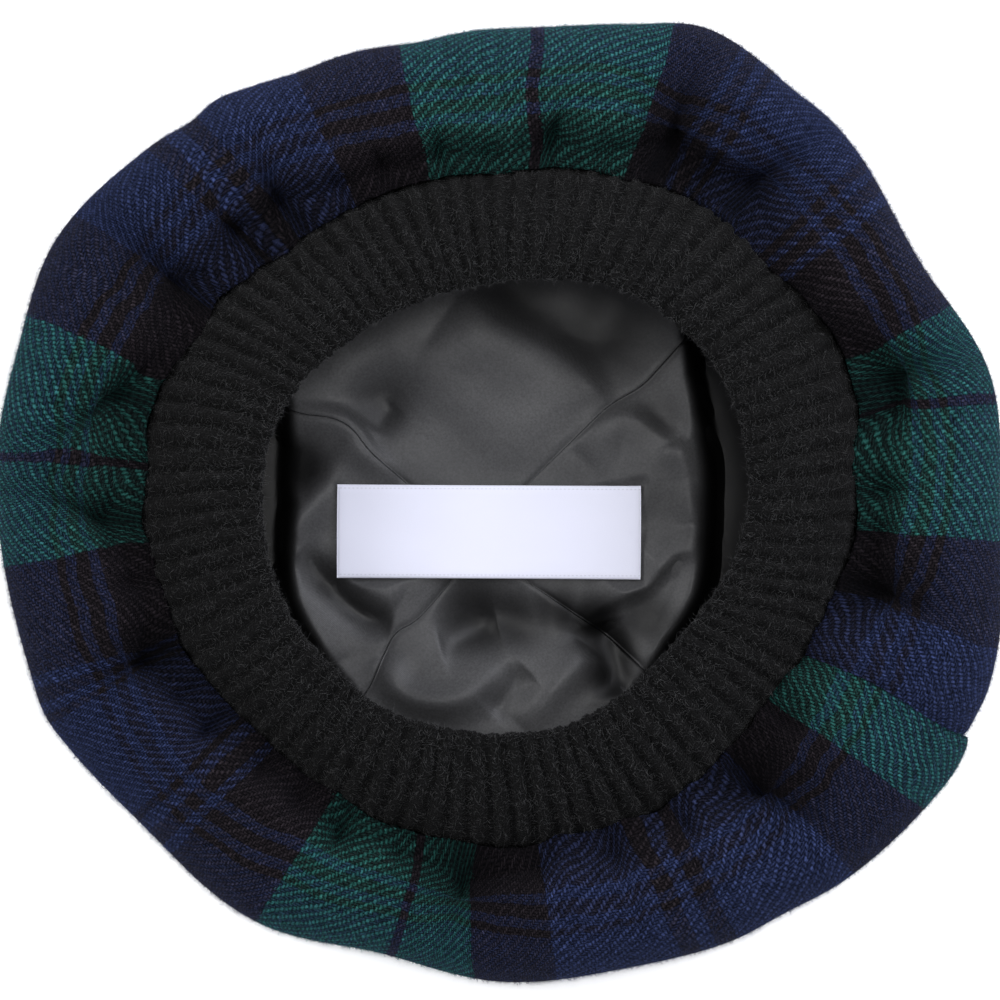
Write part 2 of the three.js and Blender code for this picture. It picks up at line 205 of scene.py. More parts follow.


# %% [markdown]
# ## The section of the shell
# Seen in section, the tartan leaves the band's seam, climbs to a crest, rolls over the rim and turns
# in to the crown's seam. Each stretch is a quarter of a wave or an ellipse, so radius, height and
# normal all come from a formula. The same section carries the strip and the crown.

# %% Section formulas
def rim_at(bearing):
    return RIM * closed_curve(OUTLINE["rim"], bearing)


def seam_at(bearing):
    return SEAM * closed_curve(OUTLINE["seam"], bearing) + dented(SEAM_DENTS, bearing)


def mouth_at(bearing):
    return MOUTH * closed_curve(OUTLINE["mouth"], bearing)


def frame_of(r, z, along_r, along_z):
    """Radius, height and the unit normal to the right of the way that the section runs."""
    size = np.hypot(along_r, along_z)
    return np.stack(np.broadcast_arrays(r, z, along_z / size, -along_r / size))


def lower_rim(bearing, turn):
    """A quarter ellipse from the crown's flat edge (turn 0) up to the widest ring (turn 90)."""
    angle = np.radians(turn)
    seam_turn = np.sin(np.radians(CROWN_SEAM_TURN))
    trimmed = dented(RIM_DENTS, bearing) * np.clip((np.sin(angle) - seam_turn) / (1 - seam_turn), 0, 1)
    r = rim_at(bearing) + trimmed - RIM_ROLL * (1 - np.sin(angle))
    z = RIM_HEIGHT * (1 - np.cos(angle))
    return frame_of(r, z, RIM_ROLL * np.cos(angle), RIM_HEIGHT * np.sin(angle))


def upper_rim(bearing, turn):
    """A quarter ellipse from the widest ring (turn 0) up to the crest (turn 90)."""
    angle = np.radians(turn)
    reach = rim_at(bearing) - seam_at(bearing) - CREST_REACH
    dents = dented(RIM_DENTS, bearing) * np.cos(angle) ** 2
    r = seam_at(bearing) + CREST_REACH + reach * np.cos(angle) + dents
    z = RIM_HEIGHT + PUFF_RISE * np.sin(angle)
    return frame_of(r, z, -reach * np.sin(angle), PUFF_RISE * np.cos(angle))


def inner_slope(bearing, share):
    """A quarter of a cosine wave from the crest (share 0) down to the band's seam (share 1)."""
    angle = share * np.pi / 2
    r = seam_at(bearing) + CREST_REACH * (1 - share)
    z = CREST_HEIGHT - SEAM_DIP * (1 - np.cos(angle))
    return frame_of(r, z, -CREST_REACH, -SEAM_DIP * np.sin(angle) * np.pi / 2)


# %% [markdown]
# ## The strip of tartan, gathered to the band
# On the real hat a straight strip, about 910 mm long, is joined end to end and gathered down to the
# band, which is a third shorter. The slack goes into folds that run out from the band's seam. Each
# row of the table is one fold: where it starts, how deep and wide it is, how far out it runs and how
# it leans. A fold is a narrow crease with wide shoulders, and the cloth puffs up between two of them.

# %% Table of gathers
GATHERS = np.array([
    (2, 0.55, 1.7, 0.4, 0), (17.5, 1.1, 2.4, 1.0, 1), (14, 0.5, 1.4, 0.35, 0), (52, 1.0, 1.9, 0.85, -3),
    (58, 0.5, 1.6, 0.3, 0), (64.5, 1.25, 1.7, 0.85, 2), (73, 0.3, 1.5, 0.25, 0), (82.5, 0.75, 1.6, 0.4, -3),
    (92, 0.3, 1.5, 0.25, 0), (99.5, 0.5, 1.7, 0.35, 1), (109, 0.55, 2.2, 0.35, 2), (117, 0.35, 1.5, 0.3, 0),
    (126, 1.0, 1.9, 0.7, -1), (134, 0.9, 1.7, 0.55, 1), (146, 1.0, 2.2, 1.0, -2), (163, 1.05, 2.2, 0.9, 12),
    (173, 0.35, 1.5, 0.3, 0), (183, 0.95, 2.0, 0.95, -5), (192, 0.35, 1.6, 0.3, 0),
    (203.5, 1.15, 2.0, 0.75, 1), (211, 0.35, 1.5, 0.3, 0), (217.5, 0.6, 1.7, 0.4, 1), (228, 0.4, 1.7, 0.3, 0),
    (236, 0.35, 1.6, 0.3, 0), (244, 0.65, 1.8, 0.4, 0), (254, 0.35, 1.6, 0.3, 0), (264.5, 1.1, 2.7, 0.95, -1),
    (276, 0.4, 1.8, 0.3, 0), (288, 0.5, 2.2, 0.4, 0), (300, 0.45, 1.8, 0.35, 1), (311.5, 1.25, 2.0, 0.75, 4),
    (323, 0.35, 1.6, 0.3, 0), (347.5, 1.15, 1.9, 0.65, -3), (356, 0.35, 1.5, 0.3, 0),
], dtype=[(column, float) for column in ("bearing", "depth", "spread", "run", "lean")])
STRIP_SEAM = 333.8
PUFF, ROLL, PUCKER = 3.6, 1.8, 0.9


def beside(bearing, centre):
    """Degrees from centre round to bearing, from -180 to 180."""
    return np.mod(bearing - centre + 180, 360) - 180


def fold_along(out, run):
    """Depth of a fold along it: it opens quickly from the band's seam and fades out where it ends."""
    opened = np.clip(out / 0.12, 0, 1)
    return opened * opened * (3 - 2 * opened) * (1 - np.minimum(1, out / (1.15 * run)) ** 2) ** 1.5


def gather_at(bearing, out):
    """How deep the gathers are, from 0 to about 1: each one's fall across it times its fall along it,
    where out is the share of the way from the band's seam to the rim."""
    fall = np.zeros(np.broadcast_shapes(bearing.shape, out.shape))
    for fold in GATHERS:
        off = np.abs(beside(bearing, fold["bearing"] + fold["lean"] * out)) / (1.15 * fold["spread"])
        along = fold_along(out, fold["run"])
        fall += fold["depth"] * (0.45 * np.exp(-(off**1.25)) + 0.55 * np.exp(-((off / 3) ** 2))) * along
    return np.minimum(fall, 1.2)


def pinch(bearing, out):
    """Degrees by which the cloth leans over each gather from both sides, so that it closes to a slit."""
    shift = np.zeros(np.broadcast_shapes(bearing.shape, out.shape))
    for fold in GATHERS:
        off = beside(bearing, fold["bearing"] + fold["lean"] * out)
        along = fold_along(out, fold["run"])
        reach = off / (1.7 * fold["spread"])
        shift -= 0.45 * min(fold["depth"], 1) * off * np.exp(-(reach**2)) * along
    return shift


def strip_lift(bearing, out, on_top):
    """How far the cloth stands off its plain section, in mm: up in puffs, down in gathers and into the
    seam, with a slow roll round the rim and fine puckers at the band."""
    fall = gather_at(bearing, out) * on_top
    puff = PUFF * np.exp(-(((out - 0.19) / 0.2) ** 2)) * (1 - np.minimum(fall * 1.6, 1)) * on_top
    turn = np.radians(bearing)
    roll = ROLL * wobble(4 * np.cos(turn), 4 * np.sin(turn), 3 * out, seed=3) * (1 - 0.6 * out**3)
    pucker = PUCKER * wobble(26 * np.cos(turn), 26 * np.sin(turn), 5 * out, seed=5) * np.exp(-out / 0.25)
    tuck = SEAM_TUCK * np.exp(-((out / 0.055) ** 2))
    return puff + roll * np.minimum(1, out * 3) + pucker - tuck - GATHER_DEPTH * fall


# %% [markdown]
# ## The tartan's threads
# The sett repeats after 208 counts, of two threads and 2 mm each here. The strip's length gives one
# coordinate and the way out from the band the other, so that the stripes run out like spokes and
# cross the ones that run round. A table says which count of the sett lies at which bearing, because
# the gathers don't take up the slack evenly, and another how far out the stripes that run round lie.

# %% Sett coordinates
COUNT, COUNT_ACROSS = 2.0, 1.85
SETT = 208

# degrees clockwise from the top, and counts along the strip from its first end
CLOCK_TO_COUNT = np.array([
    (116.2, 0), (125.3, 10.8), (135.2, 26.8), (152, 43.8), (156.4, 47.8), (173.3, 64.8), (182.7, 80.8),
    (193.4, 97.8), (210, 114.8), (225.2, 133.8), (229.2, 137.8), (244, 161.8), (247.3, 165.8),
    (262.4, 184.8), (275.1, 201.8), (291.5, 218.8), (303.3, 234.8), (316, 251.8), (320.6, 255.8),
    (334.6, 272.8), (347.2, 288.8), (364.2, 305.8), (379.8, 322.8), (389.2, 341.8), (392, 345.8),
    (406.6, 369.8), (409.6, 373.8), (425.7, 392.8), (437.6, 409.8), (454, 426.8), (465.6, 442.8),
    (476.2, 455),
])
STRIP_START = 138.8

# degrees clockwise and the radius in mm of the outer thin black stripe, one count inside the sett's start
ROUND_STRIPE = np.array([
    (116.2, 118), (130, 120.5), (145, 123), (154, 122.5), (165, 123), (180, 121), (198, 120.5), (215, 123),
    (228, 127.5), (244, 125.5), (258, 124), (270, 129), (284, 129), (297, 126), (320, 126.5), (332, 123.5),
    (340, 120.5), (352, 119.5), (363, 121), (371, 125.5), (378, 127.5), (391, 128.5), (408, 130),
    (417, 129), (440, 130), (447, 127.5), (454, 124), (462, 122), (476.2, 121.5),
])


def drawn_in(bearing, out):
    """Counts by which the cloth is drawn into the gathers beside a place: most just off the line."""
    drawn = np.zeros(np.broadcast_shapes(bearing.shape, out.shape))
    for fold in GATHERS:
        off = beside(bearing, fold["bearing"] + fold["lean"] * out) / fold["spread"]
        along = np.clip(1 - out / (1.3 * fold["run"]), 0, 1)
        drawn -= 2.4 * fold["depth"] * np.tanh(1.2 * off) * np.exp(-((off / 3.5) ** 2)) * along
    return drawn


# %% Make the strip
ROWS_ABOVE_RIM = 70


def shell_rows():
    """(kind, place) of each row of the strip's outer side, from the band's seam to the crown's."""
    slope = [(inner_slope, share) for share in np.linspace(1, 0, 30)]
    over = [(upper_rim, turn) for turn in np.linspace(90, 0, 42)[1:]]
    under = [(lower_rim, turn) for turn in np.linspace(90, CROWN_SEAM_TURN + 0.6, 16)[1:]]
    return slope + over + under


def place(section, lift):
    """Radius and height of a section after moving along its normal by lift in mm."""
    return section[0] + lift * section[2], section[1] + lift * section[3]


STRIP_COLUMNS, STRIP_INNER_ROWS, END_GAP = 900, 16, 0.03
clock = ENDS_MEET + np.linspace(END_GAP / 2, 360 - END_GAP / 2, STRIP_COLUMNS)
strip_bearing = (90 - clock)[None, :]
section = np.stack([np.broadcast_to(kind(strip_bearing[0], where), (4, STRIP_COLUMNS))
                    for kind, where in shell_rows()], axis=1)
out = np.clip((section[0] - seam_at(strip_bearing)) / (rim_at(strip_bearing) - seam_at(strip_bearing)), 0, 1)
on_top = np.clip((section[1] - RIM_HEIGHT) / 6, 0, 1)
from_end = np.minimum(clock - clock[0], clock[-1] - clock) * np.radians(1) * section[0]
fall_in = 0.8 * np.exp(-((from_end / 1.3) ** 1.5)) + 0.8 * np.exp(-((from_end / 9) ** 2))
lift = strip_lift(strip_bearing, out, on_top) - fall_in
waver = 0.5 * np.sin(2 * np.pi * (out - 0.1)) * np.exp(-((beside(strip_bearing, STRIP_SEAM) / 8) ** 2))
turned = strip_bearing + waver + pinch(strip_bearing, out) * on_top
fall = gather_at(strip_bearing, out)
near_seam = out / 0.05 * np.exp(1 - out / 0.05)
strip_turn = np.radians(strip_bearing)
ragged = 0.7 + 0.8 * wobble(9 * np.cos(strip_turn), 9 * np.sin(strip_turn), seed=6)
overhang = OVERHANG * near_seam * ragged * np.clip(1 - 1.5 * fall, 0, 1)
section = section - np.array([1, 0, 0, 0])[:, None, None] * overhang
outer = polar(place(section, lift)[0], turned, place(section, lift)[1])
inner_rows = np.linspace(len(section[0]) - 1, 0, STRIP_INNER_ROWS).astype(int)
inner_place = place(section[:, inner_rows], lift[inner_rows] - CLOTH)
inner = polar(inner_place[0], turned[inner_rows], inner_place[1])

steps = np.hypot(*np.diff(section[:2], axis=1))
across_mm = np.concatenate([np.zeros((1, STRIP_COLUMNS)), np.cumsum(steps, axis=0)])
along_count = running_mean(CLOCK_TO_COUNT, clock, 3.0)[None, :] - STRIP_START + drawn_in(strip_bearing, out)
stripe_radius = running_mean(ROUND_STRIPE, clock, 6.0)
stripe_row = (section[0][:ROWS_ABOVE_RIM] < stripe_radius).sum(axis=0)
stripe_mm = np.take_along_axis(across_mm, stripe_row[None, :], axis=0)
stripe_mm = np.convolve(np.pad(stripe_mm[0], 8, mode="edge"), np.ones(17) / 17, mode="valid")
across_count = (across_mm - stripe_mm) / COUNT_ACROSS - 1.0
# Painted shade: the third column darkens the wool along each gather from just inside the band's seam, the
# fourth darkens it next to the band's seam.
painted_crease_shade = np.minimum(gather_at(strip_bearing, out + 0.07), 1)
strip_uv = np.stack([along_count, across_count, painted_crease_shade, np.exp(-((out / 0.2) ** 2))], axis=-1)
strip_points = np.concatenate([outer, inner])
strip_grid_uv = np.concatenate([strip_uv, strip_uv[inner_rows], strip_uv[:1]])
underside = grid_mesh("underside_strip", strip_points, strip_grid_uv, caps=wall_caps(len(outer), inner_rows))
strip_length = (CLOCK_TO_COUNT[-1, 1] - CLOCK_TO_COUNT[0, 1]) * COUNT
print("strip length, mm:", round(strip_length), "width, mm:", np.round(across_mm[-1].mean(), 1))

# %% [markdown]
# ## The crown
# The disc that the hat lies on. It is flat over the floor and turns up to its seam under the rim.
# Its tartan isn't gathered, so the sett lies square on it.

# %% Make the crown
CROWN_COLUMNS = 180
crown_bearing = np.linspace(0, 360, CROWN_COLUMNS, endpoint=False)[None, :]
flat_rows = np.linspace(0.0004, 1, 26)[:-1]
crown_turns = np.linspace(0, CROWN_SEAM_TURN - 0.6, 16)
flat_part = [frame_of((rim_at(crown_bearing[0]) - RIM_ROLL) * share, 0 * crown_bearing[0], 1, 0)
             for share in flat_rows]
turned_part = [np.broadcast_to(lower_rim(crown_bearing[0], turn), (4, CROWN_COLUMNS)) for turn in crown_turns]
crown_section = np.stack(flat_part + turned_part, axis=1)
tuck = 1.2 * np.exp(-((np.arange(len(crown_section[0]))[::-1, None] / 1.5) ** 2))
crown_outer = polar(place(crown_section, -tuck)[0], crown_bearing, place(crown_section, -tuck)[1])
crown_rows = np.arange(len(crown_section[0]))[::-3]
crown_inner_place = place(crown_section[:, crown_rows], -CLOTH - tuck[crown_rows])
crown_inner = polar(crown_inner_place[0], crown_bearing, crown_inner_place[1])
crown_points = np.concatenate([crown_outer, crown_inner])
crown_uv = crown_points[..., :2] / COUNT + 11
crown_uv = np.concatenate([crown_uv, crown_uv[:1]])
crown_uv = np.concatenate([crown_uv, crown_uv[:, :1]], axis=1)
crown = grid_mesh("crown_disc", crown_points, crown_uv, wrap_columns=True)

# %% [markdown]
# ## The ribbed band
# Two by two rib: two raised columns of stitches, then two sunk ones. The band stands up from its
# seam and rolls in to a soft folded edge at the head opening. The ribs are real relief in the mesh.
# The V stitches are finer than a triangle and come from the material, on a grid of columns and rows
# that the mesh's UV map counts.

# %% Make the band
BAND_COLUMNS = RIBS * 12
BAND_ROWS = 44
band_bearing = np.linspace(0, 360, BAND_COLUMNS, endpoint=False)[None, :]


def band_line(bearing, share):
    """The band's middle: reach falls evenly to the free edge while height is a quarter sine wave."""
    start = seam_at(bearing) - 0.3
    reach = start - mouth_at(bearing) - BAND_WALL / 2
    angle = share * np.pi / 2
    tuck = 1.3 * SEAM_TUCK * np.exp(-((share / 0.11) ** 2))
    z = SEAM_HEIGHT - BAND_WALL / 2 + BAND_RISE * np.sin(angle) - tuck
    return frame_of(start - reach * share, z, -reach, BAND_RISE * np.cos(angle) * np.pi / 2)


def rib_relief(bearing, share):
    """Height of the ribs from -1 to 1: a flattened wave that wears down to the free edge, with a lean
    that wanders a little round the band. The second value is the ribs' phase."""
    turn = np.radians(bearing)
    lean = 2.2 * wobble(1.5 * np.cos(turn), 1.5 * np.sin(turn), 1.2 * share, seed=11)
    stray = 0.6 * wobble(9 * np.cos(turn), 9 * np.sin(turn), 4 * share, seed=12)
    phase = (bearing + lean * share + stray) * RIBS / 360 * 2 * np.pi
    wave = np.tanh(1.4 * np.cos(phase)) / np.tanh(1.4)
    wear = 0.75 + 0.5 * wobble(22 * np.cos(turn), 22 * np.sin(turn), 7 * share, seed=14)
    return wave * wear * (1 - 0.45 * share**3), phase


share = np.linspace(0, 1, BAND_ROWS)[:, None]
line = band_line(band_bearing, share)
relief, phase = rib_relief(band_bearing, share)
fade = np.clip(0.35 + share * 4, 0, 1)
unevenness = 0.4 * wobble(14 * np.cos(np.radians(band_bearing)), 14 * np.sin(np.radians(band_bearing)),
                          6 * share, seed=13)
unevenness = unevenness + 0.16 * rng.normal(size=unevenness.shape)
upper = place(line, BAND_WALL / 2 + RIB_DEPTH / 2 * relief * fade + unevenness)
lower_share = share[::-5]
lower_line = band_line(band_bearing, lower_share)
lower_relief = rib_relief(band_bearing, lower_share)[0]
lower = place(lower_line, -BAND_WALL / 2 + RIB_DEPTH / 3 * lower_relief)
edge_turn = np.radians(np.linspace(0, 180, 12))[1:-1, None]
edge_line = line[:, -1:]
edge_half = BAND_WALL / 2 + RIB_DEPTH / 2 * relief[-1:] * np.cos(edge_turn / 2) ** 2 + unevenness[-1:]
edge_half = edge_half + 0.12 * rng.normal(size=edge_half.shape)
edge_r = edge_line[0] - edge_half * np.sin(edge_turn)
edge_z = edge_line[1] + edge_half * np.cos(edge_turn)
band_r = np.concatenate([upper[0], edge_r, lower[0]])
band_z = np.concatenate([upper[1], edge_z, lower[1]])
band_points = polar(band_r, band_bearing, band_z)

WALE_COUNT = 4 * RIBS
COURSE = 1.15
band_steps = np.linalg.norm(np.diff(band_points, axis=0), axis=-1).mean(axis=1)
courses = np.concatenate([[0], np.cumsum(band_steps)]) / COURSE
wales = np.concatenate([band_bearing[0], [360]]) * WALE_COUNT / 360
lean_wales = (phase - band_bearing * RIBS / 360 * 2 * np.pi) / (2 * np.pi) * 4
lean_wales = np.concatenate([lean_wales, np.repeat(lean_wales[-1:], len(edge_turn), axis=0),
                             lean_wales[::-5], lean_wales[:1]])
lean_wales = np.concatenate([lean_wales, lean_wales[:, :1]], axis=1)
band_courses = np.concatenate([courses, [courses[-1] + 1]])
band_uv = np.stack(np.broadcast_arrays(wales[None, :] + lean_wales, band_courses[:, None]), axis=-1)
band = grid_mesh("rib_knit_band", band_points, band_uv, wrap_columns=True)

# %% [markdown]
# ## The lining
# Four gores of satin meet under the label and lie slack on the crown, pushed about by hand. The
# sheet is a height over the floor: a plateau whose edge falls into the pocket under the band, with
# a table of ridges and valleys. Each fold is a smooth path, steeper on one side than on the other,
# as satin folds are where one puff lies against the next.

# %% Tables of the lining
GORE_SEAMS = np.array([46, 155, 232, 310])
MEETING = np.array([-4.4, -8.4])
LINING_FLOOR, LINING_TOP, LABEL_SEAT = 4.2, 27.2, 13.2
LABEL_MIDDLE, LABEL_HALF = np.array([-3.2, -8.1]), np.array([44.0, 13.5])

SEAM_SWAY = [
    [(0, 0), (0.15, 0.5), (0.41, -1.2), (0.5, -4.7), (0.62, -4.5), (0.7, -3.9), (1, 0)],
    [(0, 0), (0.22, -1.1), (0.35, -4), (0.42, -7.8), (0.475, -7.2), (0.55, -3.3), (1, 0)],
    [(0, 0), (0.17, 1.2), (0.26, 1.1), (0.33, 0.6), (0.39, -2.2), (0.46, -0.6), (0.57, 2.5), (1, 0)],
    [(0, 0), (0.17, -1.4), (0.22, 0), (0.3, 1.7), (0.41, 4.3), (0.55, 5), (1, 0)],
]

# height, reach to the left and to the right of the path, and the path, all in mm
FOLDS = [
    (3.0, 3.0, 6.0, [(-62, 26), (-48, 25), (-42, 21.5), (-38, 15), (-29, 7)]),
    (1.6, 5.0, 5.0, [(-42, 18.5), (-54, 1), (-62, -9)]),
    (-1.0, 3.0, 3.0, [(-36, 21), (-30, 28.5)]),
    (3.4, 3.6, 16.0, [(-12, 60), (-2, 53), (8, 47.5), (22, 38.5), (31, 28)]),
    (2.8, 4.0, 9.0, [(22, 15), (30, 23), (38, 24.5), (49.5, 17), (57, 21)]),
    (2.2, 4.0, 4.0, [(50, 18), (54, 10), (55.5, -6)]),
    (1.8, 3.0, 6.0, [(55, 46.5), (57, 29), (58, 19)]),
    (2.6, 6.0, 3.5, [(-52, 7), (-59.5, -7.5), (-62.5, -20), (-58.5, -31.5), (-53.5, -39), (-48, -47)]),
    (-4.5, 4.0, 4.5, [(-58.5, -14), (-49, -24), (-39, -32.5), (-31, -34)]),
    (1.6, 5.0, 5.0, [(-46.5, -21), (-37, -25), (-29, -28.5)]),
    (3.2, 5.0, 5.0, [(-32.5, -43.5), (-29, -54), (-15.5, -57.5), (4, -50.5)]),
    (-2.4, 6.0, 6.0, [(-17.5, -41.5), (0, -37)]),
    (4.0, 7.0, 3.0, [(22, -34), (32, -28), (41.5, -22), (46.5, -18), (51.5, -13.5), (58, -14)]),
    (3.0, 3.0, 5.0, [(54, 7), (57.5, -12), (57, -24.5), (52.5, -34), (46.5, -42), (40.5, -48.5)]),
    (-4.0, 4.5, 5.5, [(30, -34), (33, -44), (35, -56)]),
    (2.4, 5.0, 5.0, [(25.5, -41.5), (17, -52), (6, -64.5)]),
    (-2.2, 5.0, 5.0, [(8.5, -48.5), (-3.5, -60)]),
]

# middle, reach and height in mm of the wide puffs and hollows
PUFFS = [
    (-20, 44, 22, 3.0), (4, 22, 14, 1.5), (-33.5, 31, 8, -4.0), (30, 10, 13, 1.5), (26, -36, 10, -4.5),
    (-30, -20, 12, 1.0), (-14, -50, 12, 2.5), (45, 5, 10, 1.5), (30, 54, 17, -5.5), (6, 64, 14, -4.5),
    (-60, 10, 9, -3.0), (50, -38, 7, -2.0), (-8, -32, 10, -5.0), (5, -34, 9, -4.0),
]

# middle, reach in mm and depth from 0 to 1 of painted shade where the satin folds under itself or sinks
PAINTED_SHADE_FOLDS = [
    (-8, -32, 9, 0.55), (5, -34, 8, 0.55), (17, -30, 8, 0.9), (27, -33, 9, 1.0), (34, -42, 8, 1.0),
    (32, -51, 8, 1.0), (43, -33, 8, 0.85), (30, 54, 18, 0.5), (6, 62, 14, 0.45), (-58, 11, 9, 0.85),
    (46, 26, 7, 0.4), (50, 0, 12, 0.25), (-38, 28, 8, 0.3),
]

# bearing and radius where the plateau's edge lies
LINING_EDGE = np.array([
    (0, 58.5), (15, 60), (25, 62), (35, 66), (45, 74), (60, 84), (120, 84), (140, 78), (155, 67),
    (165, 61), (180, 59), (195, 62), (205, 65), (217, 66), (230, 68), (250, 74), (270, 76),
    (290, 72), (305, 66), (320, 62), (335, 62), (350, 59),
])


# %% Height of the lining
def smooth_path(points, samples=36):
    """Catmull-Rom through a fold's points, with its ends carried on straight."""
    points = np.array(points, float)
    padded = np.concatenate([2 * points[:1] - points[1:2], points, 2 * points[-1:] - points[-2:-1]])
    where = np.linspace(0, len(points) - 1 - 1e-9, samples)
    row = where.astype(int)
    t = (where - row)[:, None]
    a, b, c, d = (padded[row + k] for k in range(4))
    return b + 0.5 * t * (c - a + t * (2 * a - 5 * b + 4 * c - d + t * (3 * b - a - 3 * c + d)))


def beside_path(x, y, path):
    """Distance in mm to the left of a path, and the share of the path at the nearest place."""
    start, run = path[:-1], np.diff(path, axis=0)
    off = np.stack([x, y], -1)[..., None, :] - start
    along = np.clip((off * run).sum(-1) / (run * run).sum(-1), 0, 1)
    gap = np.linalg.norm(off - along[..., None] * run, axis=-1)
    side = np.where(run[:, 0] * off[..., 1] - run[:, 1] * off[..., 0] < 0, -1, 1)
    pick = gap.argmin(-1)[..., None]
    share = (np.arange(len(run)) + along) / len(run)
    return np.take_along_axis(gap * side, pick, -1)[..., 0], np.take_along_axis(share, pick, -1)[..., 0]


def smoothstep(low, high, value):
    """0 below low, 1 above high, and a smooth S between them."""
    t = np.clip((value - low) / (high - low), 0, 1)
    return t * t * (3 - 2 * t)


def lining_height(x, y):
    """Height in mm of the lining over the floor: plateau, puffs, folds and a slow unevenness, kept
    under the label where the label lies. The second value is how deep the painted shade is at a place."""
    z = 12.4 + 0.7 * wobble(x / 16, y / 16, seed=21)
    for middle_x, middle_y, reach, height in PUFFS:
        z = z + height * np.exp(-((x - middle_x) ** 2 + (y - middle_y) ** 2) / reach**2)
    for height, left, right, points in FOLDS:
        gap, along = beside_path(x, y, smooth_path(points))
        reach = np.where(gap > 0, left, right)
        z = z + height * np.exp(-((gap / reach) ** 2)) * (1 - (2 * along - 1) ** 4)
    outside = np.hypot(*(np.maximum(np.abs(place - middle) - half, 0)
                         for place, middle, half in zip((x, y), LABEL_MIDDLE, LABEL_HALF)))
    z = np.clip(z, LINING_FLOOR + 0.4, LABEL_SEAT + 0.55 * outside)
    bearing = np.degrees(np.arctan2(y, x))
    edge = np.interp(np.mod(bearing, 360), *LINING_EDGE.T, period=360)
    pocket = smoothstep(edge - 1.5, edge + 6, np.hypot(x, y))
    # painted shade, nearly black in the pocket under the band and at the listed spots
    shade = 0.95 * smoothstep(edge - 3, edge + 3, np.hypot(x, y))
    for middle_x, middle_y, reach, depth in PAINTED_SHADE_FOLDS:
        gap = np.hypot(x - middle_x, y - middle_y)
        shade = np.maximum(shade, depth * np.exp(-((gap / reach) ** 3)))
    return LINING_FLOOR + (z - LINING_FLOOR) * (1 - pocket), shade


# %% Make the four gores
GORE_COLUMNS = 122

# shares of the pocket's reach and of the lining's height, on its way up the side
SIDE = np.array([(0.6, 0.0), (0.85, 0.05), (0.97, 0.18), (1.0, 0.34), (0.9, 0.46), (0.68, 0.56),
                 (0.4, 0.66), (0.15, 0.82), (0.0, 1.0)])


def lining_side(bearing, reach):
    """Radius at a share of the way from the band's seam out to the pocket's end."""
    return seam_at(bearing) + reach * (rim_at(bearing) - POCKET_INSET - seam_at(bearing))


def sway(seam, share):
    """How far a seam swings to the left of its straight line, in mm, at a share of the way out."""
    table = np.array(SEAM_SWAY[seam])
    spread = share[..., None] + np.linspace(-0.025, 0.025, 7)
    return np.interp(spread, table[:, 0], table[:, 1]).mean(-1)


def gore_points(number):
    """The upper side of a gore, floor rows from the meeting point out, then rows up the side; and how
    deep the painted shade is at each place, which is deepest in the pocket under the band."""
    first, last = GORE_SEAMS[number], GORE_SEAMS[(number + 1) % 4]
    last = last + 360 * (last < first)
    t = np.linspace(0, 1, GORE_COLUMNS)[None, :]
    bearing = first + 0.08 + (last - first - 0.16) * t
    share = np.concatenate([np.linspace(0.01, 0.68, 86), np.linspace(0.7, 1, 9)])[:, None]
    edge = lining_side(bearing, SIDE[0, 0])
    end = polar(edge, bearing, 0)[..., :2]
    run = end - MEETING
    size = np.linalg.norm(run, axis=-1)
    left = np.stack([-run[..., 1], run[..., 0]], -1) / size[..., None]
    swing = sway(number, share) * (1 - t) + sway((number + 1) % 4, share) * t
    floor = MEETING + run * share[..., None] + left * swing[..., None]
    z, shade = lining_height(floor[..., 0], floor[..., 1])
    from_seam = np.minimum(t, 1 - t) * np.radians(last - first) * share * size
    z = z - 0.55 * np.exp(-((from_seam / 0.8) ** 1.4))
    side_r = lining_side(bearing, SIDE[1:, 0][:, None])
    side_z = LINING_FLOOR + (LINING_TOP - LINING_FLOOR) * SIDE[1:, 1][:, None] + 0 * bearing
    points = np.concatenate([np.concatenate([floor, z[..., None]], -1), polar(side_r, bearing, side_z)])
    return points, np.concatenate([shade, np.ones(side_r.shape)])


gores = []
for number in range(4):
    top, shade = gore_points(number)
    under_rows = np.linspace(len(top) - 1, 0, 24).astype(int)
    under = top[under_rows] - np.array([0, 0, LINING_WALL])
    # the third column is the painted shade
    top_uv = np.stack([top[..., 0], top[..., 1], shade, 0 * shade], -1)
    gore_uv = np.concatenate([top_uv, top_uv[under_rows], top_uv[:1]])
    gores.append(grid_mesh(f"lining_satin_gore_{number + 1}", np.concatenate([top, under]), gore_uv,
                           caps=wall_caps(len(top), under_rows)))

# %% [markdown]
# ## The label
# A bare woven label with folded ends, sewn down flat. It is a thin cushion of satin: its edges roll
# down a little, and it bends by a fraction of a millimetre with the cloth under it.

# %% Make the label
LABEL_WALL, LABEL_Z = 0.7, 13.9
edge_table = np.array([0, 0.004, 0.012, 0.03])
u = np.concatenate([edge_table, np.linspace(0.05, 0.95, 60), 1 - edge_table[::-1]])
v = np.concatenate([edge_table * 3, np.linspace(0.1, 0.9, 24), 1 - edge_table[::-1] * 3])
grid_u, grid_v = np.meshgrid(u * 2 - 1, v * 2 - 1)
tilt = np.radians(-0.3)
label_x = LABEL_HALF[0] * grid_u * (1 - 0.002 * grid_v**2)
label_y = LABEL_HALF[1] * grid_v * (1 + 0.004 * grid_u**2)
rounding = (1 - np.abs(grid_u) ** 60) ** 0.5 * (1 - np.abs(grid_v) ** 22) ** 0.5
ripple = 0.25 * wobble(grid_u * 3, grid_v, seed=31) + 0.3 * grid_u**2
label_top = LABEL_Z + ripple + 0.15 + LABEL_WALL * (0.35 + 0.65 * rounding)
label_under = LABEL_Z + ripple
turned_x = LABEL_MIDDLE[0] + label_x * np.cos(tilt) - label_y * np.sin(tilt)
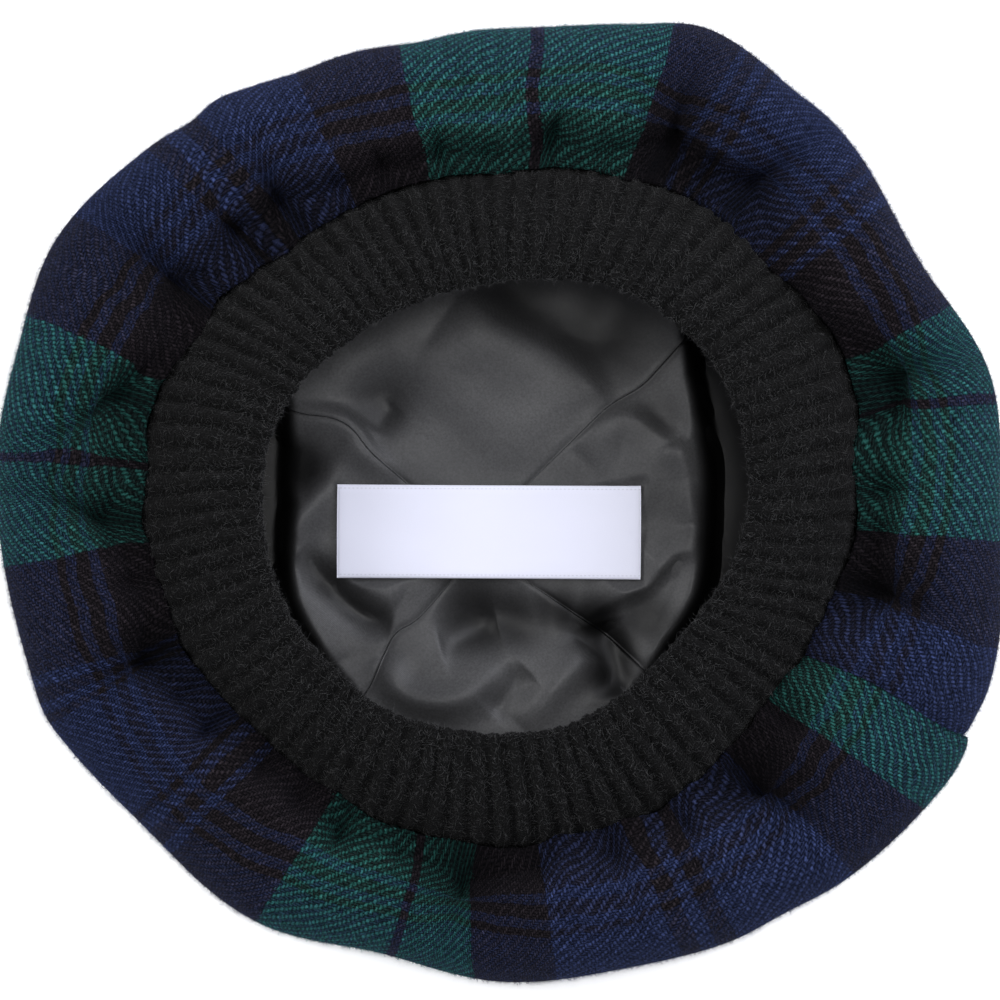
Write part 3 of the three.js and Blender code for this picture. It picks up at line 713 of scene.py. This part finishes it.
turned_y = LABEL_MIDDLE[1] + label_x * np.sin(tilt) + label_y * np.cos(tilt)
label_upper = np.stack([turned_x, turned_y, label_top], -1)
label_lower = np.stack([turned_x, turned_y, label_under], -1)[::-1]
label_points = np.concatenate([label_upper, label_lower])
label_uv = np.concatenate([np.stack([label_x, label_y], -1), np.stack([label_x, label_y], -1)[::-1]])
label_uv = np.concatenate([label_uv, label_uv[:1]])
label = grid_mesh("bare_label", label_points, label_uv,
                  caps=wall_caps(len(label_upper), np.arange(len(label_upper))[::-1]))

# %% [markdown]
# ## Nap and hairs
# Lambswool is hairy: short hairs stand off the tartan and the knit, blur their patterns and soften
# the outline. A hair is a closed needle with three sides and one bend, ten triangles in all, rooted at
# a random place of a grid and leaning at random. The short nap of the tartan is straight, with four
# triangles to a hair. Each hair keeps the UV of the thread that it grows from.

# %% Make the hairs
def hairs(name, grid, grid_uv, count, length, lift, width, seed, pick_thread=False, bent=True):
    """Needles rooted on grid[row, column]. length, lift and width are (low, high): mm, degrees off the
    surface and mm. With pick_thread each hair's u is the count of either thread at its root."""
    draw = np.random.default_rng(seed)
    rows, columns = grid.shape[:2]
    row, column = draw.uniform(0, rows - 1.001, count), draw.uniform(0, columns - 1.001, count)
    i, j = row.astype(int), column.astype(int)
    s, t = (row - i)[:, None], (column - j)[:, None]

    def between(values):
        return ((values[i, j] * (1 - s) + values[i + 1, j] * s) * (1 - t)
                + (values[i, j + 1] * (1 - s) + values[i + 1, j + 1] * s) * t)

    root, place = between(grid), between(grid_uv)
    outwards = np.cross(grid[i, j + 1] - grid[i, j], grid[i + 1, j] - grid[i, j])
    outwards /= np.linalg.norm(outwards, axis=1)[:, None]
    outwards *= np.where((outwards * (root * (1, 1, 0) * 0.4 + (0, 0, 40))).sum(1) < 0, -1, 1)[:, None]
    aside = draw.normal(size=(count, 3))
    aside -= (aside * outwards).sum(1)[:, None] * outwards
    aside /= np.linalg.norm(aside, axis=1)[:, None]
    angle = np.radians(draw.uniform(*lift, count))[:, None]
    run = aside * np.cos(angle) + outwards * np.sin(angle)
    curl = draw.normal(size=(count, 3)) * 0.35 - outwards * draw.uniform(0, 0.5, (count, 1))
    reach = draw.uniform(*length, count)[:, None]
    middle = root + run * reach * 0.5
    tip = middle + (run + curl) * reach * 0.5
    root = root - outwards * 0.15
    side = np.cross(run, outwards)
    side /= np.linalg.norm(side, axis=1)[:, None]
    lifted = np.cross(side, run)
    half = draw.uniform(*width, count)[:, None] / 2
    turns = np.radians([0, 120, 240])
    ring = [(side * np.cos(turn) + lifted * np.sin(turn)) * half for turn in turns]
    if bent:
        points = np.stack([root + r for r in ring] + [middle + r * 0.75 for r in ring] + [tip], axis=1)
        face_list = [(0, 1, 4, 3), (1, 2, 5, 4), (2, 0, 3, 5), (3, 4, 6), (4, 5, 6), (5, 3, 6), (2, 1, 0)]
    else:
        points = np.stack([root + r for r in ring] + [tip], axis=1)
        face_list = [(0, 1, 3), (1, 2, 3), (2, 0, 3), (2, 1, 0)]
    pattern = np.concatenate([np.array(face) for face in face_list])
    loops = (np.arange(count)[:, None] * points.shape[1] + pattern).ravel()
    if pick_thread:
        chosen = np.where(draw.random(count) < 0.5, place[:, 0], place[:, 1])
        place = np.column_stack([chosen, draw.random(count), place[:, 2:]])
    # Each hair also carries the painted shade of the cloth at its root, in the columns after the first two.
    loop_uv = np.repeat(place, len(pattern), axis=0)
    sizes = np.tile([len(face) for face in face_list], count)
    return build_mesh(name, points.reshape(-1, 3), loops, sizes, loop_uv)


strip_top, strip_edge = slice(2, 78), slice(52, 82)
nap = [hairs(f"tartan_nap_{n + 1}", outer[strip_top], strip_uv[strip_top], 45000, (0.7, 2.0), (8, 50),
             (0.07, 0.12), 40 + n, pick_thread=True, bent=False) for n in range(2)]
nap += [hairs(f"tartan_rim_hair_{n + 1}", outer[strip_edge], strip_uv[strip_edge], 19000, (0.9, 3.0),
              (10, 75), (0.035, 0.065), 45 + n, pick_thread=True) for n in range(2)]
band_top = slice(0, BAND_ROWS + len(edge_turn))
band_hair = [hairs(f"rib_knit_hair_{n + 1}", band_points[band_top], band_uv[band_top], 17000, (0.9, 3.2),
                   (3, 40), (0.06, 0.1), 50 + n) for n in range(2)]

# %% [markdown]
# ## Materials: the helper and the colours
# Every finish is a small tree of nodes. One function adds a node: its properties as keywords, its
# sockets in order or by name. Colours are written as sRGB hex values.

# %% Node helper
def linear(code):
    """An sRGB hex colour as linear red, green, blue and alpha."""
    value = np.array([int(code[k:k + 2], 16) for k in (1, 3, 5)]) / 255
    return tuple(np.where(value <= 0.04045, value / 12.92, ((value + 0.055) / 1.055) ** 2.4)) + (1.0,)


def add(tree, kind, *inputs, into=None, **settings):
    """Adds a node and returns its first output. inputs fill its sockets in order, into by name; each
    is a value, or an output to link. None leaves a socket as it is."""
    made = tree.nodes.new("ShaderNode" + kind)
    for name, value in settings.items():
        setattr(made, name, value)
    for name, value in list(enumerate(inputs)) + list((into or {}).items()):
        if isinstance(value, bpy.types.NodeSocket):
            tree.links.new(value, made.inputs[name])
        elif value is not None:
            made.inputs[name].default_value = value
    return made.outputs[0] if len(made.outputs) else made


def new_finish(name):
    """An empty material and its node tree."""
    material = bpy.data.materials.new(name)
    material.use_nodes = True
    material.node_tree.nodes.clear()
    return material, material.node_tree


def times(tree, level, *ranges):
    """A level times some values, each given with its own limits and those that it is mapped to."""
    for value, *limits in ranges:
        level = add(tree, "Math", level, add(tree, "MapRange", value, *limits), operation="MULTIPLY")
    return level


def astray(tree, place, cloth, scale, detail, roughness, reach):
    """A place on the cloth, pushed about by noise by up to half of reach in u and in v."""
    noise = {"Vector": cloth, "Scale": scale, "Detail": detail, "Roughness": roughness}
    noise = add(tree, "TexNoise", None, into=noise).node.outputs["Color"]
    noise = add(tree, "VectorMath", noise, (0.5, 0.5, 0.5), operation="SUBTRACT")
    return add(tree, "VectorMath", noise, (*reach, 0.0), place, operation="MULTIPLY_ADD")


# %% [markdown]
# ## Tartan wool
# A two by two twill of soft carded lambswool: each thread passes over two and under two, one step on
# with every thread, which draws the slanting lines. The sett is the same in both directions. Dyed
# wool takes light into its fibres, so it is rough, with only a trace of sheen.

# %% Tartan finish
STRIPES = ("B22 K2 B2 K2 B2 K16 G16 K2 G16 K16 B16 K2 B2 K2 B16 K16 G16 K2 G16 K16 B2 K2 B2 K2").split()
DYES = {"B": linear("#242C49"), "K": linear("#1E1A1D"), "G": linear("#1F534C")}
THREADS_PER_COUNT = 2.15
# how much painted shade darkens the wool in the gathers and next to the band's seam
PAINTED_FOLD_SHADE, PAINTED_SEAM_SHADE = 0.62, 0.35


def striped(tree, share):
    """The sett's stripes as a colour ramp over a share of the sett."""
    ramp = add(tree, "ValToRGB", share)
    colours = ramp.node.color_ramp
    colours.interpolation = "CONSTANT"
    start = 0
    for position, stripe in enumerate(STRIPES):
        element = colours.elements[position] if position < 2 else colours.elements.new(start / SETT)
        element.position = start / SETT
        element.color = DYES[stripe[0]]
        start += int(stripe[1:])
    return ramp


def painted_shade_share(tree, by_first, by_second):
    """Share of colour left under the painted shade read from the map of painted shade."""
    places = add(tree, "SeparateXYZ", add(tree, "UVMap", uv_map="painted_shade_map"))
    first = add(tree, "Math", places, -by_first, 1.0, operation="MULTIPLY_ADD")
    second = add(tree, "Math", places.node.outputs[1], -by_second, 1.0, operation="MULTIPLY_ADD")
    return add(tree, "Math", first, second, operation="MULTIPLY")


def tartan_finish():
    material, tree = new_finish("tartan_wool")
    cloth = add(tree, "UVMap", uv_map="cloth")
    place = astray(tree, cloth, cloth, 0.12, 2.0, 0.5, (1.6, 1.6))
    place = astray(tree, place, cloth, 2.6, 3.0, 0.7, (0.65, 0.65))
    threads = add(tree, "VectorMath", place, (THREADS_PER_COUNT, -THREADS_PER_COUNT, 1), operation="MULTIPLY")
    number = add(tree, "VectorMath", threads, operation="FLOOR")
    within = add(tree, "VectorMath", threads, operation="FRACTION")
    u = add(tree, "SeparateXYZ", threads)
    w = u.node.outputs[1]
    u_number = add(tree, "SeparateXYZ", number)
    w_number = u_number.node.outputs[1]
    u_within = add(tree, "SeparateXYZ", within)
    w_within = u_within.node.outputs[1]

    both = add(tree, "Math", u_number, w_number, operation="ADD")
    step = add(tree, "Math", both, 4.0, operation="FLOORED_MODULO")
    radial = add(tree, "Math", step, 1.5, operation="LESS_THAN")
    radial_place, round_place = (
        add(tree, "Math", add(tree, "Math", a, b, operation="ADD"), 4.0, operation="FLOORED_MODULO")
        for a, b in ((u_number, w), (u, w_number)))
    round_place = add(tree, "Math", round_place, 2.0, operation="SUBTRACT")
    along = add(tree, "Mix", radial, None, round_place, radial_place)
    along = add(tree, "Math", along, 0.5, operation="MULTIPLY", use_clamp=True)
    across = add(tree, "Mix", radial, None, w_within, u_within)
    arches = []
    for part, sharpness in ((along, 0.6), (across, 0.7)):
        arch = add(tree, "Math", add(tree, "Math", part, np.pi, operation="MULTIPLY"), operation="SINE")
        arches.append(add(tree, "Math", arch, sharpness, operation="POWER"))
    height = add(tree, "Math", *arches, operation="MULTIPLY")

    sett = []
    for thread, sign in ((u_number, 1), (w_number, -1)):
        middle = add(tree, "Math", thread, 0.5, operation="ADD")
        share = add(tree, "Math", middle, sign / (THREADS_PER_COUNT * SETT), operation="MULTIPLY")
        sett.append(striped(tree, add(tree, "Math", share, operation="FRACT")))
    fuzz = {"Vector": threads, "Scale": 1.5, "Detail": 4.0, "Roughness": 0.75}
    fuzz = add(tree, "TexNoise", None, into=fuzz)
    blur = add(tree, "MapRange", fuzz, 0.3, 0.7, 0.35, 0.85)
    blurred = add(tree, "Mix", blur, None, radial, 0.5)
    dye = add(tree, "Mix", blurred, data_type="RGBA").node
    tree.links.new(sett[1], dye.inputs[6])
    tree.links.new(sett[0], dye.inputs[7])
    dye = dye.outputs[2]

    lone = add(tree, "Mix", radial, None, w_number, u_number)
    tint = add(tree, "TexWhiteNoise", None, lone, noise_dimensions="1D")
    slub = {"Vector": threads, "Scale": 0.35, "Detail": 3.0, "Roughness": 0.6}
    slub = add(tree, "TexNoise", None, into=slub)
    level = add(tree, "MapRange", tint, 0.0, 1.0, 0.8, 1.2)
    # Painted shade of the gathers and of the band's seam.
    level = add(tree, "Math", level, painted_shade_share(tree, PAINTED_FOLD_SHADE, PAINTED_SEAM_SHADE), operation="MULTIPLY")
    # Thread height darkens the colour between the floats as well as bumping them: painted shade in the
    # weave's hollows.
    level = times(tree, level, (slub, 0.3, 0.7, 0.6, 1.4), (fuzz, 0.3, 0.7, 0.15, 2.1),
                  (height, 0.0, 1.0, 0.1, 1.45), (radial, 0.0, 1.0, 0.7, 1.3))
    shade = add(tree, "VectorMath", dye, into={"Scale": level}, operation="SCALE")
    relief = add(tree, "Math", height, add(tree, "Math", fuzz, 0.5, operation="MULTIPLY"), operation="ADD")
    relief = add(tree, "Math", radial, 0.5, relief, operation="MULTIPLY_ADD")
    bump = add(tree, "Bump", into={"Strength": 1.0, "Distance": 0.0006, "Height": relief})
    wool = add(tree, "BsdfPrincipled", into={
        "Base Color": shade, "Roughness": 0.92, "IOR": 1.54, "Specular IOR Level": 0.04, "Normal": bump,
        "Sheen Weight": 0.01, "Sheen Roughness": 0.45, "Sheen Tint": linear("#B9C4E6"),
    })
    add(tree, "OutputMaterial", wool)
    print("tartan_wool nodes:", len(tree.nodes))
    return material


tartan = tartan_finish()


# %% Hair finishes
def hair_finish(name, brightness, colour=None):
    """Wool hairs: a little lighter than their cloth, because light passes through them."""
    material, tree = new_finish(name)
    cloth = add(tree, "UVMap", uv_map="cloth")
    place = add(tree, "SeparateXYZ", cloth)
    if colour is None:
        share = add(tree, "Math", place, 1 / SETT, operation="MULTIPLY")
        base = striped(tree, add(tree, "Math", share, operation="FRACT"))
    else:
        base = linear(colour)[:3]
    tint = add(tree, "TexWhiteNoise", cloth, noise_dimensions="2D")
    level = add(tree, "MapRange", tint, 0.0, 1.0, 0.3 * brightness, 2.0 * brightness)
    # Painted shade: the hairs darken with the cloth's painted shade of gathers and the band's seam.
    level = add(tree, "Math", level, painted_shade_share(tree, PAINTED_FOLD_SHADE, PAINTED_SEAM_SHADE), operation="MULTIPLY")
    shade = add(tree, "VectorMath", base, into={"Scale": level}, operation="SCALE")
    wool = add(tree, "BsdfPrincipled", into={
        "Base Color": shade, "Roughness": 0.8, "IOR": 1.54, "Specular IOR Level": 0.1,
        "Sheen Weight": 0.03, "Sheen Roughness": 0.5, "Sheen Tint": linear("#C3CBE0"),
    })
    add(tree, "OutputMaterial", wool)
    return material


tartan_hair = hair_finish("tartan_wool_hair", 1.7)
rib_hair = hair_finish("charcoal_wool_hair", 3.0, "#242424")

# %% [markdown]
# ## Rib knit
# Charcoal lambswool, knitted two by two. A column of stitches is a column of Vs, drawn from the UV
# map, where one unit is one stitch in either direction. The hairs blur them, so the Vs stay soft.

# %% Rib finish
def rib_finish():
    material, tree = new_finish("charcoal_rib_wool")
    cloth = add(tree, "UVMap", uv_map="cloth")
    wale = add(tree, "SeparateXYZ", astray(tree, cloth, cloth, 0.45, 2.0, 0.5, (0.5, 0.9)))
    course = wale.node.outputs[1]
    within = add(tree, "Math", add(tree, "Math", wale, operation="FRACT"), 0.5, operation="SUBTRACT")
    aside = add(tree, "Math", within, operation="ABSOLUTE")
    slanted = add(tree, "Math", aside, 1.1, course, operation="MULTIPLY_ADD")
    v_wave = add(tree, "Math", add(tree, "Math", slanted, 2 * np.pi, operation="MULTIPLY"), operation="SINE")
    v_wave = add(tree, "MapRange", v_wave, -1.0, 1.0, 0.0, 1.0)
    leg = add(tree, "Math", add(tree, "Math", aside, 2 * np.pi, operation="MULTIPLY"), operation="SINE")
    stitch = add(tree, "Math", leg, v_wave, operation="MULTIPLY")
    rib = add(tree, "Math", add(tree, "Math", wale, np.pi / 2, operation="MULTIPLY"), operation="COSINE")
    rib = add(tree, "MapRange", rib, -1.0, 0.6, 0.0, 1.0)
    fuzz = add(tree, "TexNoise", None, into={"Vector": cloth, "Scale": 2.2, "Detail": 4.0, "Roughness": 0.75})
    cloud = add(tree, "TexNoise", None, into={"Vector": cloth, "Scale": 0.3, "Detail": 3.0})
    level = add(tree, "MapRange", stitch, 0.0, 1.0, 0.7, 1.15)
    # The sunk columns of the rib are darker than the raised ones: painted shade in the rib's valleys, on top
    # of the mesh's relief.
    level = times(tree, level, (rib, 0.0, 1.0, 0.4, 1.2), (fuzz, 0.3, 0.7, 0.1, 2.0),
                  (cloud, 0.3, 0.7, 0.85, 1.15))
    shade = add(tree, "VectorMath", linear("#0D0D0D")[:3], into={"Scale": level}, operation="SCALE")
    relief = add(tree, "Math", fuzz, 0.8, stitch, operation="MULTIPLY_ADD")
    bump = add(tree, "Bump", into={"Strength": 0.8, "Distance": 0.0004, "Height": relief})
    wool = add(tree, "BsdfPrincipled", into={
        "Base Color": shade, "Roughness": 0.95, "IOR": 1.54, "Specular IOR Level": 0.1, "Normal": bump,
        "Sheen Weight": 0.04, "Sheen Roughness": 0.5, "Sheen Tint": linear("#B5B5B5"),
    })
    add(tree, "OutputMaterial", wool)
    return material


rib_wool = rib_finish()

# %% [markdown]
# ## Lining satin and label satin
# Satin is smooth because each thread floats over many: its gloss is broad and soft. The lining is
# polyester satin dyed dark grey. The label is the same weave in optical white, which looks a little
# blue, with its selvedge as a faint line of dots inside each long edge.

# %% Satin finishes
def lining_finish():
    material, tree = new_finish("grey_satin_lining")
    where = add(tree, "TexCoord").node.outputs["Object"]
    weave = add(tree, "TexWave", where, into={"Scale": 1400.0, "Distortion": 1.5, "Detail": 1.0},
                bands_direction="DIAGONAL")
    crumple = add(tree, "TexNoise", where, into={"Scale": 90.0, "Detail": 3.0, "Roughness": 0.5})
    cloud = add(tree, "TexNoise", where, into={"Scale": 30.0, "Detail": 2.0})
    relief = add(tree, "Math", weave, 0.03, crumple, operation="MULTIPLY_ADD")
    bump = add(tree, "Bump", into={"Strength": 0.35, "Distance": 0.0012, "Height": relief})
    depth = add(tree, "SeparateXYZ", where).node.outputs[2]
    grain = add(tree, "TexNoise", where, into={"Scale": 1500.0, "Detail": 2.0, "Roughness": 0.6})
    # Painted shade: the map of painted shade darkens the pocket and the listed folds, and the satin is darker
    # the lower it lies, down to a tenth in the hollows.
    level = times(tree, painted_shade_share(tree, 0.93, 0.0), (cloud, 0.3, 0.7, 0.82, 1.14),
                  (depth, 0.0055, 0.0125, 0.1, 1.0), (grain, 0.3, 0.7, 0.8, 1.2), (weave, 0.0, 1.0, 0.9, 1.1))
    shade = add(tree, "VectorMath", linear("#424243")[:3], into={"Scale": level}, operation="SCALE")
    rough = add(tree, "MapRange", crumple, 0.3, 0.7, 0.4, 0.48)
    satin = add(tree, "BsdfPrincipled", into={
        "Base Color": shade, "Roughness": rough, "IOR": 1.57, "Specular IOR Level": 0.2, "Normal": bump,
    })
    add(tree, "OutputMaterial", satin)
    return material


def label_finish():
    material, tree = new_finish("white_label_satin")
    cloth = add(tree, "UVMap", uv_map="cloth")
    place = add(tree, "SeparateXYZ", cloth)
    x, y = place, place.node.outputs[1]
    weave = add(tree, "TexWave", cloth, into={"Scale": 1.1, "Distortion": 0.6}, bands_direction="Y")
    fine = add(tree, "TexNoise", cloth, into={"Scale": 4.0, "Detail": 3.0, "Roughness": 0.7})
    reach = add(tree, "Math", y, operation="ABSOLUTE")
    line = add(tree, "Math", add(tree, "Math", reach, 12.5, operation="SUBTRACT"), operation="ABSOLUTE")
    line = add(tree, "MapRange", line, 0.0, 0.28, 1.0, 0.0)
    dots = add(tree, "Math", add(tree, "Math", x, 2 * np.pi / 1.2, operation="MULTIPLY"), operation="SINE")
    dots = add(tree, "MapRange", dots, -0.4, 0.6, 0.2, 1.0)
    selvedge = add(tree, "Math", line, dots, operation="MULTIPLY")
    level = add(tree, "MapRange", selvedge, 0.0, 1.0, 1.0, 0.78)
    level = times(tree, level, (fine, 0.3, 0.7, 0.975, 1.02), (weave, 0.0, 1.0, 0.985, 1.01))
    shade = add(tree, "VectorMath", linear("#E6E7F6")[:3], into={"Scale": level}, operation="SCALE")
    relief = add(tree, "Math", selvedge, -0.6, add(tree, "Math", weave, fine, operation="ADD"),
                 operation="MULTIPLY_ADD")
    bump = add(tree, "Bump", into={"Strength": 0.4, "Distance": 0.00012, "Height": relief})
    satin = add(tree, "BsdfPrincipled", into={
        "Base Color": shade, "Roughness": 0.5, "IOR": 1.57, "Normal": bump, "Sheen Weight": 0.15,
    })
    add(tree, "OutputMaterial", satin)
    return material


lining_satin = lining_finish()
label_satin = label_finish()

# %% Give each piece its finish
for piece, finish in [(underside, tartan), (crown, tartan), (band, rib_wool), (label, label_satin),
                      *((gore, lining_satin) for gore in gores), *((piece, tartan_hair) for piece in nap),
                      *((piece, rib_hair) for piece in band_hair)]:
    piece.data.materials.append(finish)

# %% [markdown]
# ## Floor, light and camera
# A pale floor under soft daylight from above, a little stronger from the upper right. The camera looks
# straight down with a long lens, as for a catalogue picture.

# %% Floor
FLOOR_HALF, FLOOR_Z = 3.0, -0.0005
floor_mesh = bpy.data.meshes.new("pale_floor")
floor_corners = [(x * FLOOR_HALF, y * FLOOR_HALF, FLOOR_Z) for x, y in ((-1, -1), (1, -1), (1, 1), (-1, 1))]
floor_mesh.from_pydata(floor_corners, [], [(0, 1, 2, 3)])
floor = bpy.data.objects.new("pale_floor", floor_mesh)
bpy.context.collection.objects.link(floor)
material, tree = new_finish("white_paper_floor")
paper = add(tree, "BsdfPrincipled", into={
    "Base Color": linear("#F6F6F6"), "Roughness": 0.9, "Specular IOR Level": 0.1,
    "Emission Color": (1.0, 1.0, 1.0, 1.0), "Emission Strength": 0.55,
})
add(tree, "OutputMaterial", paper)
floor_mesh.materials.append(material)

# %% Light
world = bpy.data.worlds.new("soft_daylight")
bpy.context.scene.world = world
world.use_nodes = True
world.node_tree.nodes.clear()
sky = add(world.node_tree, "Background", linear("#F4F6FF"), 0.5)
add(world.node_tree, "OutputWorld", sky)


def softbox(name, at, size, watts, colour):
    """A square area light at a place in metres, aimed at the hat's middle."""
    lamp = bpy.data.lights.new(name, "AREA")
    lamp.shape, lamp.size, lamp.energy = "SQUARE", size, watts
    lamp.color = linear(colour)[:3]
    holder = bpy.data.objects.new(name, lamp)
    bpy.context.collection.objects.link(holder)
    holder.location = at
    aim = np.array([0, 0, 0.02]) - np.array(at)
    yaw, reach = np.arctan2(aim[1], aim[0]), np.hypot(aim[0], aim[1])
    holder.rotation_euler = (np.arctan2(reach, -aim[2]), 0, yaw - np.pi / 2)
    return holder


softbox("key_softbox", (-1.1, 0.4, 1.1), 0.6, 9, "#FFFFFF")
softbox("top_softbox", (0.2, 0.2, 1.9), 0.5, 12, "#FFFFFF")
softbox("fill_softbox", (1.1, 0.9, 1.0), 1.0, 20, "#F4F6FF")

# %% Camera
lens = bpy.data.cameras.new("overhead_camera")
lens.lens, lens.sensor_width = 187.5, 36.0
lens.clip_start, lens.clip_end = 0.1, 20.0
camera = bpy.data.objects.new("overhead_camera", lens)
bpy.context.collection.objects.link(camera)
camera.location = (0.0, 0.00115, 1.522)
bpy.context.scene.camera = camera
bpy.context.scene.view_settings.view_transform = "Standard"

# %% [markdown]
# ## Tie the pieces to the frame
# Every piece rides on the one body. Each piece of cloth takes the place of an imported node. The strip
# is straight and gathered, and the gores are slack over the crown.

# %% Replace the nodes
pairs = [(underside, "underside", "tartan_wool"), (crown, "crown", "tartan_wool"),
         (band, "rib_band", "rib_knit"), (label, "label", "label_satin")]
pairs += [(gore, f"lining_gore_{n + 1}", "lining_satin") for n, gore in enumerate(gores)]
for piece, node_name, slot in pairs:
    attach(piece, "root")
    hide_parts(node_name)
hair_slots = [(piece, "tartan_wool") for piece in nap] + [(piece, "rib_knit") for piece in band_hair]
for piece, slot in hair_slots:
    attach(piece, "root")
